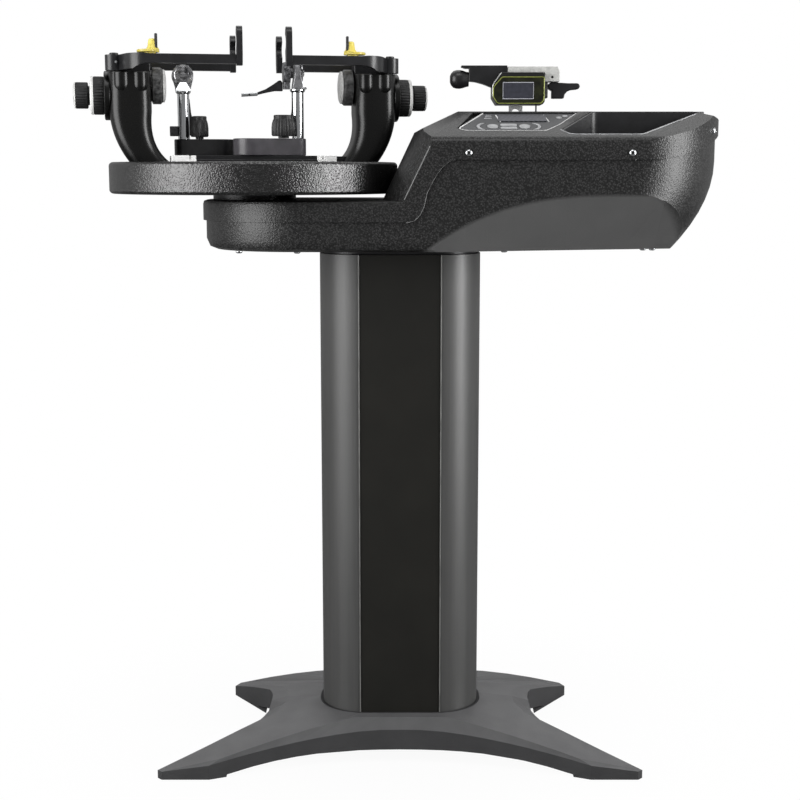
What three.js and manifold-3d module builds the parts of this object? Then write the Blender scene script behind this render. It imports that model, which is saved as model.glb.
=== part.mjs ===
// A floor-standing racket stringing machine: claw base, column, housing, turntable and tension head.
// Millimetres, +Z up, -Y towards the person who strings. The origin is on the floor, centred below it.
import * as THREE from 'three';
import { mergeVertices } from 'three/addons/utils/BufferGeometryUtils.js';
import Module from 'manifold-3d';

const wasm = await Module();
wasm.setup();

// Places that several pieces share, measured from the column's axis and from the floor
const housingBottom = 788;
const deckTop = 861;
const turntableX = -222;
const turntableTurnDeg = 10;
const discBottom = 870;
const discTop = 916.5;
const knobAxisZ = 1014;

// Clearances
const overrun = 2;
const runningGap = 0.3;
const fitGap = 0.4;

// Base: a four-toed claw with a well for the column
const frontToeX = 365;
const frontToeY = 177;
const frontToeFlat = 78;
const frontToeSlant = 7;
const frontArcY = 115;
const rearToeX = 287;
const rearToeY = 200;
const rearToeRun = 23;
const rearArcY = 146;
const waistX = 196;
const waistY = 18;
const waistRun = 62;
const toeHeight = 12;
const hubTop = 67;
const archRise = 22;
const solePad = 3;
const solePadReach = 262;
const rearPadReach = 226;
const wellFloor = 32;
const wellGap = 3;
const bevelWidth = 34;
const bevelDrop = 13;

// Column: an extruded tube with a trim channel in front and behind
const columnWidth = 246;
const columnDepth = 152;
const columnCorner = 68;
const columnWall = 5;
const channelWidth = 122;
const channelDepth = 4;
const trimThickness = 3;
const topPlateThickness = 8;
const topPlateInset = 6;

// Housing: an upper cover over a lower body, parted along a stepped line
const housingLeft = -298;
const housingRight = 479;
const housingHalfDepth = 165;
const leftEndFlat = 15;
const leftEndRadius = housingHalfDepth - leftEndFlat;
const bowLength = 134;
const bowShoulder = 67;
const bowShoulderY = 3;
const bowTuck = 70;
const bowNoseY = housingHalfDepth - bowTuck;
const wall = 4;
const deckWall = 9;
const bodyInset = 4.5;
const bodyFloor = 5;
const bodyFootRound = 15;
const bodyFootRise = 16;
const deckRound = 6;
const flankX = 20.7;
const flankTopZ = 958;
const flankSlope = 2.1;
const flankBackRun = 62;
const flankCreaseX = 12.7;
const flankCreaseRun = 23;
const flankFrontX = 31.3;
const ridgeStartX = 85;
const ridgeZ = 989.5;
const slopeRun = 91;
const ridgeHalf = housingHalfDepth - slopeRun;
const ridgeEndX = 430;
const ridgeEndDrop = 13;
const frontEdgeZ = 949;
const frontEdgeRound = 6;
const partingLeftZ = 831;
const partingRightZ = 919;
const partingStepX = 8;
const partingStepRun = 70;
const partingRiseX = 372;
const partingRise = 39;
const noseTuck = 62;
const noseHeight = 130;
const scoopStartX = 30;
const scoopTopZ = 872;
const scoopRun = 290;
const scoopDepth = 130;
const scoopBow = 2.7;

// Screws through the cover's front
const screwHeadRadius = 5;
const screwHeadHeight = 3;
const screwShankRadius = 2;
const screwLength = 12;
const screwZ = 928.5;
const screwLeftX = 97;
const screwRightX = 328;

// Control panel and tool tray, in the sloping top
const panelFrontLeftX = 94;
const panelFrontRightX = 209;
const panelBackLeftX = 121;
const panelBackRightX = 259;
const panelLeftX = 82;
const panelRightX = 231;
const panelFrontRun = 28;
const panelLeftRun = 36;
const panelRightRun = 52;
const panelBackRun = 95;
const pocketBackLeftX = 107;
const panelRecess = 5;
const panelThickness = 3.2;
const panelSink = 1.5;
const screenLeft = 142;
const screenWidth = 70;
const screenFrontRun = 64;
const screenDepth = 22;
const screenThickness = 1;
const buttonRun = 46;
const buttonProud = 0.6;
const buttonBody = 2.7;
const ovalRadius = 8;
const barWidth = 24;
const barDepth = 8;
const barPitch = 5.5;
const crescentRadius = 12.5;
const crescentHollow = 8;
const ovalPitch = 23;
const crescentPitch = 34;
const buttonCentreX = 156;
const trayFrontLeftX = 242;
const trayFrontRightX = 344;
const trayBackLeftX = 282;
const trayBackRightX = 446;
const trayShoulderX = 229;
const trayFrontRun = 13;
const trayShoulderRun = 27;
const trayBackRun = 93;
const trayFloorZ = 925;
const trayWall = 3;

// Chassis and drive inside the housing
const chassisThickness = 8;
const chassisHalfWidth = 45;
const chassisLeft = -262;
const chassisRight = 385;
const bearingFlangeRadius = 63;
const bearingFlange = 11;
const bearingFootRadius = 38;
const bearingFoot = 10;
const bearingTubeRadius = 32;
const spindleRadius = 15;
const railZ = 925;
const railHeight = 12;
const railHalfWidth = 12;
const railLeft = 118;
const railLeg = 14;
const barAxisZ = 951;
const guideBarRadius = 6;
const gearcaseLength = 14;
const gearcaseRight = 385;
const gearcaseHalfWidth = 30;
const gearcaseRise = 14;
const motorRadius = 31;
const motorLength = 96;
const boardLength = 110;
const boardHeight = 70;
const boardThickness = 3;
const boardLeft = 120;
const boardY = 92;
const boardFoot = 34;

// Power inlet and rocker switch in the body's rear wall
const inletX = 132;
const inletWidth = 30;
const inletHeight = 24;
const inletDepth = 16;
const inletProud = 2;
const inletWallThickness = 3;
const socketDepth = 10;
const powerZ = 892;
const rockerX = 98;
const rockerWidth = 13;
const rockerHeight = 22;
const rockerDepth = 9;
const rockerProud = 3;
const rockerGap = 1;

// Turntable disc and clamp track
const discRadius = 218;
const discRound = 5;
const trackLeftMargin = 92;
const trackRightMargin = 100;
const trackLeftEnd = discRadius - trackLeftMargin;
const trackRightEnd = discRadius - trackRightMargin;
const trackHalfWidth = 66;
const trackBed = 3.5;
const trackEndGap = 3;
const railMargin = 121;
const railTrackHalf = discRadius - railMargin;
const railTrackWidth = 40;
const railTrackHeight = 6;
const trackY = 36;

// Towers, measured outwards from the turntable's axis
const towerEdge = 4;
const towerWidth = 62;
const towerOuter = discRadius - towerEdge;
const towerInner = towerOuter - towerWidth;
const towerTop = 1048;
const towerAnkleZ = 935;
const towerCalfZ = 960;
const towerBendZ = 990;
const footTuck = 27;
const ankleTuck = 13;
const calfTuck = 1.5;
const footFlare = 24;
const ankleFlare = 2;
const calfHollow = 3.5;
const towerHalfDepth = 42;
const towerFrontRound = 8;
const towerBackRound = 28;
const carrierEdge = 3;
const carrierHalfDepth = 14;
const carrierTop = 1071.5;
const flangeRadius = 36;
const flangeThickness = 7;
const stemRadius = 8;
const padRadius = 27;
const padRise = 15;
const padThickness = 17.5;
const padCrown = 4;
const padKnobRadius = 28;
const padKnobLength = 20;
const collarRadius = 14;
const collarLength = 2.6;
const armKnobRadius = 19.3;
const armKnobLength = 21.5;
const armKnobEnd = 4;

// Side arms and their hooks
const pivotEdge = 9;
const pivotReach = towerOuter - pivotEdge;
const pivotY = 28;
const pivotRadius = 4;
const armBossRadius = 13;
const armY = 77;
const armHalfWidth = 7.5;
const armBendRun = 54;
const armBendEnd = towerOuter - armBendRun;
const armBottom = 1057;
const armTop = 1070;
const rootBottom = 1049;
const rootTop = 1071;
const rootRun = 36;
const rootEnd = towerOuter - rootRun;
const leftArmReach = 25;
const rightArmReach = -47;
const hookThickness = 8.5;
const hookTop = 1111;
const hookOuter = 12;
const hookInner = 11;
const hookNotchZ = 1089;
const hookNotchHeight = 24;
const hookNotchDepth = 13;
const holdDownStep = 4;
const holdDownReach = towerInner + holdDownStep;
const holdDownRadius = 16;
const holdDownRim = 5;
const holdDownBody = 10;
const holdDownTip = 5.5;
const holdDownOffset = 7.4;
const holdDownHeight = 24;
const holdDownPinRadius = 2.2;
const holdDownPinOffset = 10.1;
const holdDownPinTop = 31;

// String clamps
const clampBaseHeight = 25;
const leftPostMargin = 48;
const rightPostMargin = 88.6;
const leftPostX = leftPostMargin - towerInner;
const rightPostX = towerInner - rightPostMargin;
const leftBaseRun = 80;
const rightBaseRun = 97;
const leftPostEnd = 15;
const rightPostEnd = 12;
const baseSwivelEnd = 27;
const postRadius = 9;
const postTop = 1019;
const postCollar = 5;
const postCollarRadius = 11.5;
const jawInner = 8;
const jawOuter = 22;
const jawFootHalf = 10;
const jawRadius = 16.5;
const jawCentreZ = 1047;
const jawSlit = 0.8;
const jawSlitBottom = 1040;
const bracketHalfDepth = 10;
const bracketTop = 1059;
const leverPivotX = -27;
const leverPivotZ = 1032;
const leverBoss = 4.6;
const leverTipX = -85;
const leverTipZ = 1012.5;
const leverHalfWidth = 5;
const leverTipHeight = 3.6;
const leverRootZ = 1020;
const lockOffsetX = 23;
const lockOffsetY = -15;
const lockNeckRadius = 8;
const lockNeck = 5;
const lockRadius = 18;
const lockFlatShare = 0.76;
const lockWide = 16;
const lockTopRadius = 13;
const lockTop = 13;
const finTop = 60;
const finThickness = 3;
const finWidth = 14;
const finReach = 15;

// Tension head
const carriageX = 175;
const carriageHalfLength = 32;
const carriageHalfWidth = 20;
const carriageHeight = 30;
const webHalfLength = 10;
const webHalfWidth = 6;
const headBottom = 1002;
const headTop = 1049;
const headLeft = 138.5;
const headRight = 217;
const headChamfer = 13;
const headHalfDepth = 24;
const headTravel = 160;
const gripperLeft = 162;
const gripperRight = 239.5;
const gripperTop = 1058;
const gripperDrop = 13;
const gripperHalfDepth = 16;
const gripperHole = 2;
const hornLeft = 104;
const hornTop = 1060;
const hornLip = 12;
const hornLipThickness = 4;
const hornDrop = 3;
const hornHalfDepth = 11;
const ballRadius = 13.5;
const ballFlangeRadius = 14;
const ballFlange = 7;
const ballX = 88.5;
const ballZ = 1040;
const triggerPivotX = 229;
const triggerPivotZ = 1029.5;
const triggerBoss = 6;
const triggerTipX = 271;
const triggerHalfDepth = 9;
const triggerThickness = 9;

const quarterTurn = Math.PI / 2;

// Solids and how they are cut and joined
function solidOf(geometry) {
  const bare = geometry.clone();
  bare.deleteAttribute('normal');
  bare.deleteAttribute('uv');
  const merged = mergeVertices(bare, 1e-4);
  return new wasm.Manifold(new wasm.Mesh({
    numProp: 3,
    vertProperties: new Float32Array(merged.attributes.position.array),
    triVerts: new Uint32Array(merged.index.array),
  }));
}

function geometryOf(solid) {
  const mesh = solid.getMesh();
  const places = new Float32Array(mesh.numVert * 3);
  for (let i = 0; i < mesh.numVert; i += 1) {
    for (let axis = 0; axis < 3; axis += 1) {
      places[i * 3 + axis] = mesh.vertProperties[i * mesh.numProp + axis];
    }
  }
  const geometry = new THREE.BufferGeometry();
  geometry.setAttribute('position', new THREE.BufferAttribute(places, 3));
  geometry.setIndex(new THREE.BufferAttribute(new Uint32Array(mesh.triVerts), 1));
  geometry.computeVertexNormals();
  return geometry;
}

const join = (...solids) => solids.reduce((whole, solid) => whole.add(solid));
const cut = (solid, ...tools) => tools.reduce((rest, tool) => rest.subtract(tool), solid);
const overlapOf = (...solids) => solids.reduce((whole, solid) => whole.intersect(solid));

// Outlines are lists of [first, second] coordinates
const shapeOf = (outline) => new THREE.Shape(outline.map(([x, y]) => new THREE.Vector2(x, y)));

function extruded(outline, depth) {
  return new THREE.ExtrudeGeometry(shapeOf(outline), { depth, bevelEnabled: false, steps: 1 });
}

// An outline in X and Y, from low to high
function prismZ(outline, low, high) {
  return solidOf(extruded(outline, high - low).translate(0, 0, low));
}

// An outline in X and Z, from front to back
function prismY(outline, front, back) {
  return solidOf(extruded(outline, back - front).rotateX(quarterTurn).translate(0, back, 0));
}

// An outline in Y and Z, from left to right
function prismX(outline, left, right) {
  const turn = new THREE.Matrix4().makeBasis(
    new THREE.Vector3(0, 1, 0),
    new THREE.Vector3(0, 0, 1),
    new THREE.Vector3(1, 0, 0),
  );
  return solidOf(extruded(outline, right - left).applyMatrix4(turn).translate(left, 0, 0));
}

function block(x0, x1, y0, y1, z0, z1) {
  const box = new THREE.BoxGeometry(x1 - x0, y1 - y0, z1 - z0);
  return solidOf(box.translate((x0 + x1) / 2, (y0 + y1) / 2, (z0 + z1) / 2));
}

// A profile of [radius, height] points, listed from the bottom up, turned about the Z axis
function turned(profile, sides = 32) {
  const points = profile.map(([r, z]) => new THREE.Vector2(r, z));
  return solidOf(new THREE.LatheGeometry(points, sides).rotateX(quarterTurn));
}

// The same about the X axis, with the profile's heights along +X
function turnedX(profile, sides = 32) {
  const points = profile.map(([r, x]) => new THREE.Vector2(r, x));
  return solidOf(new THREE.LatheGeometry(points, sides).rotateZ(-quarterTurn));
}

const rodProfile = (radius, low, high) => [[0, low], [radius, low], [radius, high], [0, high]];
const rod = (radius, low, high, sides = 24) => turned(rodProfile(radius, low, high), sides);
const rodX = (radius, left, right, sides = 24) => turnedX(rodProfile(radius, left, right), sides);

function rodY(radius, front, back, sides = 24) {
  return rod(radius, -back, -front, sides).rotate([90, 0, 0]);
}

// Points along a quadratic or cubic curve, without its first point
function curve(points, steps) {
  const [a, b, c, d] = points.map(([x, y]) => new THREE.Vector2(x, y));
  const path = d ? new THREE.CubicBezierCurve(a, b, c, d) : new THREE.QuadraticBezierCurve(a, b, c);
  return path.getPoints(steps).slice(1).map((p) => [p.x, p.y]);
}

// Points along an arc, both ends included, with its angles in quarter turns
function arc(x, y, radius, from, to, steps) {
  const points = [];
  for (let i = 0; i <= steps; i += 1) {
    const angle = (from + ((to - from) * i) / steps) * quarterTurn;
    points.push([x + radius * Math.cos(angle), y + radius * Math.sin(angle)]);
  }
  return points;
}

function roundedBox(halfWidth, halfDepth, radius, steps = 8) {
  const x = halfWidth - radius;
  const y = halfDepth - radius;
  return [
    ...arc(x, -y, radius, -1, 0, steps),
    ...arc(x, y, radius, 0, 1, steps),
    ...arc(-x, y, radius, 1, 2, steps),
    ...arc(-x, -y, radius, 2, 3, steps),
  ];
}

// The outline round two circles, the first one on the left
function pear(x1, r1, x2, r2, steps = 8) {
  const lean = Math.asin((r1 - r2) / (x2 - x1)) / quarterTurn;
  return [
    ...arc(x1, 0, r1, 1 - lean, 3 + lean, steps),
    ...arc(x2, 0, r2, -1 + lean, 1 - lean, steps),
  ];
}

// An outline moved outwards by a gap along its mitred corners, whichever way round it runs
function grown(outline, gap) {
  const way = THREE.ShapeUtils.isClockWise(shapeOf(outline).getPoints()) ? -gap : gap;
  const count = outline.length;
  const square = (a, b) => {
    const length = Math.hypot(b[0] - a[0], b[1] - a[1]);
    return [(b[1] - a[1]) / length, (a[0] - b[0]) / length];
  };
  return outline.map((point, i) => {
    const before = square(outline[(i + count - 1) % count], point);
    const after = square(point, outline[(i + 1) % count]);
    const spread = 1 + before[0] * after[0] + before[1] * after[1];
    return [0, 1].map((axis) => point[axis] + (way * (before[axis] + after[axis])) / spread);
  });
}

// A strip of even width along a line of points
function ribbon(points, halfWidth) {
  const left = [];
  const right = [];
  points.forEach((point, i) => {
    const before = points[Math.max(i - 1, 0)];
    const after = points[Math.min(i + 1, points.length - 1)];
    const dx = after[0] - before[0];
    const dy = after[1] - before[1];
    const length = Math.hypot(dx, dy);
    left.push([point[0] - (dy / length) * halfWidth, point[1] + (dx / length) * halfWidth]);
    right.push([point[0] + (dy / length) * halfWidth, point[1] - (dx / length) * halfWidth]);
  });
  return [...right, ...left.reverse()];
}

// A closed skin over loops of equal length, each point [x, y, z], from the lowest loop to the highest
function loft(loops) {
  const count = loops[0].length;
  const places = loops.flat(2);
  const faces = [];
  for (let level = 0; level < loops.length - 1; level += 1) {
    for (let i = 0; i < count; i += 1) {
      const a = level * count + i;
      const b = level * count + ((i + 1) % count);
      faces.push(a, b, b + count, a, b + count, a + count);
    }
  }
  const flat = (loop) => loop.map(([x, y]) => new THREE.Vector2(x, y));
  const top = (loops.length - 1) * count;
  for (const [a, b, c] of THREE.ShapeUtils.triangulateShape(flat(loops[0]), [])) {
    faces.push(a, c, b);
  }
  for (const [a, b, c] of THREE.ShapeUtils.triangulateShape(flat(loops[loops.length - 1]), [])) {
    faces.push(top + a, top + b, top + c);
  }
  const geometry = new THREE.BufferGeometry();
  geometry.setAttribute('position', new THREE.Float32BufferAttribute(places, 3));
  geometry.setIndex(faces);
  return solidOf(geometry);
}

const mirroredY = (solid) => solid.mirror([0, 1, 0]);

// Finishes
const machine = new THREE.Group();

function finish(colour, roughness, metalness) {
  return () => new THREE.MeshStandardMaterial({ color: colour, roughness, metalness });
}

const grainedPlastic = finish(0x2b2b2c, 0.6, 0);
const paintedSteel = finish(0x3a3a3b, 0.5, 0.3);
const greyAluminium = finish(0x5a5a5c, 0.4, 0.7);
const blackPlastic = finish(0x151516, 0.5, 0);
const blackMetal = finish(0x1b1b1c, 0.4, 0.4);
const steel = finish(0xa9abad, 0.35, 0.9);
const chrome = finish(0xd5d7d9, 0.12, 1);
const yellowPlastic = finish(0xe0cc50, 0.45, 0);
const glassBlack = finish(0x0c0d0e, 0.15, 0);

function place(name, solid, material, parent = machine) {
  const mesh = new THREE.Mesh(geometryOf(solid), material());
  mesh.name = name;
  parent.add(mesh);
  return mesh;
}

// Base
function clawOutline() {
  const toe = [frontToeX, -frontToeY + frontToeSlant];
  const rearToe = [rearToeX, rearToeY - rearToeRun];
  const rearTip = [rearToeX - frontToeSlant, rearToeY];
  const front = [frontToeX - frontToeFlat, -frontToeY];
  const waistFront = [waistX + waistRun * 0.5, waistY - waistRun];
  const waistRear = [waistX + waistRun * 0.35, waistY + waistRun];
  const right = [
    [frontToeX - frontToeSlant, -frontToeY],
    toe,
    ...curve([toe, toe, waistFront, waistFront], 5),
    ...curve([waistFront, [waistX, waistY], waistRear], 6),
    ...curve([waistRear, waistRear, rearToe, rearToe], 4),
    rearTip,
  ];
  const rearArc = curve([rearTip, [0, 2 * rearArcY - rearToeY], [-rearTip[0], rearTip[1]]], 14);
  const left = right.slice(0, -1).reverse().map(([x, y]) => [-x, y]);
  const frontArc = curve([[-front[0], front[1]], [0, frontToeY - 2 * frontArcY], front], 18);
  return [...right, ...rearArc, ...left, [-front[0], front[1]], ...frontArc];
}

// How far a point lies from the hub to the nearest toe's tip, from 0 to 1
function toeShare([x, y]) {
  const tip = y < 0 ? Math.hypot(frontToeX, frontToeY) : Math.hypot(rearToeX, rearToeY);
  const share = (Math.hypot(x, y) - columnWidth / 2) / (tip - columnWidth / 2);
  return Math.min(Math.max(share, 0), 1);
}

// The point of the well's rim in the direction of a point
function wellPoint([x, y], gap) {
  const away = Math.hypot(x, y);
  const straightX = columnWidth / 2 - columnCorner;
  const straightY = columnDepth / 2 - columnCorner;
  let near = 0;
  let far = columnWidth;
  for (let i = 0; i < 30; i += 1) {
    const middle = (near + far) / 2;
    const outX = Math.max(Math.abs((x / away) * middle) - straightX, 0);
    const outY = Math.max(Math.abs((y / away) * middle) - straightY, 0);
    if (Math.hypot(outX, outY) < columnCorner + gap) {
      near = middle;
    } else {
      far = middle;
    }
  }
  return [(x / away) * near, (y / away) * near];
}

function makeBase() {
  const rim = clawOutline();
  const soleShare = 0.72;
  const plateau = (point) => (
    hubTop - (hubTop - toeHeight) * toeShare(point) ** (point[1] < 0 ? 1 : 1.5)
  );
  const drop = (point) => bevelDrop * (1 - toeShare(point)) * (point[1] < 0 ? 1 : 0.4);
  const under = (point) => archRise * Math.max(1 - (toeShare(point) / soleShare) ** 2, 0);
  const bevelled = rim.map((point) => {
    const hub = wellPoint(point, wellGap * 2);
    const run = Math.hypot(point[0] - hub[0], point[1] - hub[1]);
    const step = Math.min(bevelWidth * (1 - toeShare(point) * 0.55), run * 0.6) / run;
    return [point[0] + (hub[0] - point[0]) * step, point[1] + (hub[1] - point[1]) * step];
  });
  const skin = loft([
    rim.map((point) => [...point, under(point)]),
    rim.map((point) => [...point, plateau(point) - drop(point)]),
    bevelled.map((point) => [...point, plateau(point)]),
    rim.map((point) => [...wellPoint(point, wellGap * 2), hubTop]),
  ]);
  const reach = frontToeX + overrun;
  const padsAt = [-1, 1].flatMap((side) => {
    const span = (near) => (side < 0 ? [-reach, -near] : [near, reach]);
    return [
      block(...span(solePadReach), -reach, 0, 0, solePad),
      block(...span(rearPadReach), 0, reach, 0, solePad),
    ];
  });
  const pads = overlapOf(prismZ(rim, 0, solePad), join(...padsAt));
  const well = roundedBox(columnWidth / 2 + wellGap, columnDepth / 2 + wellGap, columnCorner + wellGap);
  place('base_claw', cut(join(skin, pads), prismZ(well, wellFloor, hubTop + overrun)), paintedSteel);
}

// Column
function makeColumn() {
  const top = housingBottom - topPlateThickness;
  const inner = columnWall + channelDepth;
  const tube = prismZ(roundedBox(columnWidth / 2, columnDepth / 2, columnCorner, 9), wellFloor, top);
  const bore = prismZ(
    roundedBox(columnWidth / 2 - columnWall, columnDepth / 2 - inner, columnCorner - inner, 7),
    wellFloor - overrun,
    top + overrun,
  );
  const channel = block(
    -channelWidth / 2, channelWidth / 2,
    -columnDepth / 2 - overrun, -columnDepth / 2 + channelDepth,
    wellFloor - overrun, top + overrun,
  );
  place('column', cut(tube, bore, channel, mirroredY(channel)), greyAluminium);
  const trimHalf = channelWidth / 2 - runningGap;
  const trimBack = -columnDepth / 2 + channelDepth;
  const trim = block(-trimHalf, trimHalf, trimBack - trimThickness, trimBack, wellFloor, top);
  place('column_front_trim', trim, blackPlastic);
  place('column_rear_trim', mirroredY(trim), blackPlastic);
  const inset = topPlateInset;
  const plate = roundedBox(columnWidth / 2 - inset, columnDepth / 2 - inset, columnCorner - inset, 6);
  place('column_top_plate', prismZ(plate, top, housingBottom), steel);
}

// Housing
// The left corners in plan, as steps from the sharp corner: round on the deck, faceted on the flank
const roundCorner = (radius) => arc(radius, radius, radius, -2, -1, 10);
const flankCorner = [[0, flankBackRun], [flankCreaseX, flankCreaseRun], [flankFrontX, 0]];

// The plan of the housing, drawn in by an inset, with its left side and its nose at given places
function housingPlan(inset, left, corner, nose) {
  const half = housingHalfDepth - inset;
  const x = left + inset;
  const tip = nose - inset;
  const bow = [
    [tip - bowLength, -half],
    [tip - bowShoulder, -half + bowShoulderY],
    [tip, -bowNoseY],
    [tip, 0],
  ];
  const front = [...corner.map(([cx, cy]) => [x + cx, cy - half]), bow[0], ...curve(bow, 12)];
  const rear = front.slice(0, -1).reverse().map(([px, py]) => [px, -py]);
  return [...front, ...rear];
}

const atHeight = (outline, z) => outline.map(([x, y]) => [x, y, z]);

function slopeProfile(drop) {
  const edge = frontEdgeZ - drop;
  const rise = (ridgeZ - frontEdgeZ) / (housingHalfDepth - ridgeHalf);
  const out = housingHalfDepth + overrun;
  const front = [
    [-out, partingLeftZ - overrun * 5],
    [-out, edge - frontEdgeRound],
    [-housingHalfDepth, edge - frontEdgeRound],
    [-housingHalfDepth + frontEdgeRound / 4, edge - frontEdgeRound / 3],
    [-housingHalfDepth + frontEdgeRound, edge + frontEdgeRound * rise],
    [-ridgeHalf, ridgeZ - drop],
  ];
  return [...front, ...front.slice().reverse().map(([y, z]) => [-y, z])];
}

// The raised part of the cover: a sloping flank on the left, a gabled top and the bow on the right
function raisedSolid(inset, drop) {
  const low = partingLeftZ - overrun * 2;
  const top = ridgeZ - drop;
  const far = housingRight + overrun;
  const out = housingHalfDepth + overrun;
  const flankAt = (z) => flankX + (z - flankTopZ) / flankSlope;
  const walls = loft([low, ridgeZ + overrun].map((z) => (
    atHeight(housingPlan(inset, flankAt(z), flankCorner, housingRight), z)
  )));
  const fall = (ridgeZ - flankTopZ) / (ridgeStartX - flankX);
  const flankFoot = flankAt(deckTop) - overrun;
  const side = [
    [housingLeft, low - overrun],
    [far, low - overrun],
    [far, top - ridgeEndDrop],
    [ridgeEndX, top],
    [ridgeStartX, top],
    [flankFoot, top - fall * (ridgeStartX - flankFoot)],
    [housingLeft, deckTop],
  ];
  return overlapOf(walls, prismX(slopeProfile(drop), housingLeft, far), prismY(side, -out, out));
}

function coverSolid(inset, drop, low) {
  const top = deckTop - (inset > 0 ? wall : 0);
  const plan = (extra) => {
    const corner = roundCorner(leftEndRadius - inset - extra);
    return housingPlan(inset + extra, housingLeft, corner, housingRight);
  };
  const deck = loft([
    atHeight(plan(0), low),
    atHeight(plan(0), top - deckRound),
    atHeight(plan(deckRound / 4), top - deckRound / 4),
    atHeight(plan(deckRound), top),
  ]);
  return deck.add(raisedSolid(inset, drop));
}

// Everything above the line where the cover and the body part
function partingRegion(gap) {
  const low = partingLeftZ + gap;
  const high = partingRightZ + gap;
  const nose = high + partingRise;
  const onStep = (run, rise) => [partingStepX + partingStepRun * run, low + (high - low) * rise];
  const far = housingRight + overrun * 5;
  const top = ridgeZ + overrun * 5;
  const line = [
    [housingLeft - overrun * 5, low],
    onStep(0, 0),
    ...curve([onStep(0, 0), onStep(0.35, 0), onStep(0.42, 0.45)], 4),
    ...curve([onStep(0.42, 0.45), onStep(0.72, 1), onStep(1, 1)], 4),
    [partingRiseX, high],
    ...curve([
      [partingRiseX, high],
      [partingRiseX + bowShoulder, high + partingRise * 0.3],
      [housingRight, nose],
    ], 4),
    [far, nose],
    [far, top],
    [housingLeft - overrun * 5, top],
  ];
  const out = housingHalfDepth + overrun * 2;
  return prismY(line, -out, out);
}

const slopeRise = (ridgeZ - frontEdgeZ) / (housingHalfDepth - ridgeHalf);
const slopeAngle = Math.atan(slopeRise);

// The panel's outline on the slope: X, and the run up the slope from the front edge
function panelOutline(backLeftX) {
  return [
    [panelFrontLeftX, panelFrontRun],
    [panelFrontRightX, panelFrontRun],
    [panelRightX, panelRightRun],
    [panelBackRightX, panelBackRun],
    [backLeftX, panelBackRun],
    [panelLeftX, panelLeftRun],
  ];
}

// Moves a solid made about the front edge, with Z square to the slope, onto the slope
function onSlope(solid) {
  const turn = THREE.MathUtils.radToDeg(slopeAngle);
  return solid.rotate([turn, 0, 0]).translate([0, -housingHalfDepth, frontEdgeZ]);
}

function trayOutline(gap) {
  const outline = [
    [trayFrontLeftX, trayFrontRun],
    [trayFrontRightX, trayFrontRun],
    [trayBackRightX, trayBackRun],
    [trayBackLeftX, trayBackRun],
    [trayShoulderX, trayShoulderRun],
  ];
  return grown(outline.map(([x, run]) => [x, run - housingHalfDepth]), gap);
}

function makeCover() {
  const low = partingLeftZ - overrun * 2;
  const outer = coverSolid(0, 0, low);
  const aboutTurntable = (solid) => solid.translate([turntableX, 0, 0]);
  const pocketTop = discTop + discRound * 2;
  const pocket = rod(discRadius + discRound, deckTop, pocketTop, 96);
  const pocketWall = rod(discRadius + discRound + wall, deckTop - wall, pocketTop + wall, 96);
  const inner = cut(coverSolid(wall, deckWall, low - overrun), aboutTurntable(pocketWall));
  const bearing = rod(bearingFlangeRadius + fitGap, deckTop - wall * 3, deckTop + overrun, 40);
  const slotLeft = carriageX - webHalfLength - fitGap * 8;
  const slotRight = carriageX + headTravel + webHalfLength + fitGap * 8;
  const slotHalf = webHalfWidth + fitGap * 8;
  const slot = block(slotLeft, slotRight, -slotHalf, slotHalf, ridgeZ - deckWall * 2, ridgeZ + overrun);
  const recess = onSlope(prismZ(grown(panelOutline(pocketBackLeftX), fitGap), -panelRecess, overrun * 2));
  const tray = prismZ(trayOutline(fitGap), partingRightZ, ridgeZ + overrun);
  const front = -housingHalfDepth;
  const hole = rodY(screwShankRadius + fitGap, front - overrun, front + wall + overrun, 12);
  const holes = [screwLeftX, screwRightX].map((x) => hole.translate([x, 0, screwZ]));
  const round = [pocket, bearing].map(aboutTurntable);
  const shell = overlapOf(cut(outer, inner), partingRegion(0));
  place('upper_cover', cut(shell, ...round, slot, recess, tray, ...holes), grainedPlastic);
}

// The undercut that sweeps up the body's side towards the nose
function scoopSolid(inset) {
  const stations = 12;
  const loops = [];
  const out = housingHalfDepth + overrun * 4;
  const base = housingBottom - overrun * 2;
  for (let i = 0; i <= stations; i += 1) {
    const t = (i / stations) ** 1.4;
    const x = scoopStartX + (housingRight + overrun - scoopStartX) * t;
    const rise = Math.min((x - scoopStartX) / scoopRun, 1);
    const shoulder = base + (scoopTopZ - base) * (1 - (1 - rise) ** scoopBow) + inset;
    const foot = -housingHalfDepth + bodyFootRound + scoopDepth * t + inset;
    const corner = -housingHalfDepth + bodyInset - overrun / 4;
    loops.push([
      [x, -out, base - overrun],
      [x, Math.max(foot, corner + fitGap), base - overrun],
      [x, Math.max(foot, corner + fitGap), base],
      [x, corner, shoulder + overrun / 4],
      [x, -out, shoulder + overrun / 4],
    ]);
  }
  return loftX(loops);
}

// As loft, for loops that follow each other along X
function loftX(loops) {
  const swapped = loops.map((loop) => loop.map(([x, y, z]) => [y, z, x]));
  const turn = new THREE.Matrix4().makeBasis(
    new THREE.Vector3(0, 1, 0),
    new THREE.Vector3(0, 0, 1),
    new THREE.Vector3(1, 0, 0),
  );
  const made = loft(swapped);
  return solidOf(geometryOf(made).applyMatrix4(turn));
}

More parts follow.
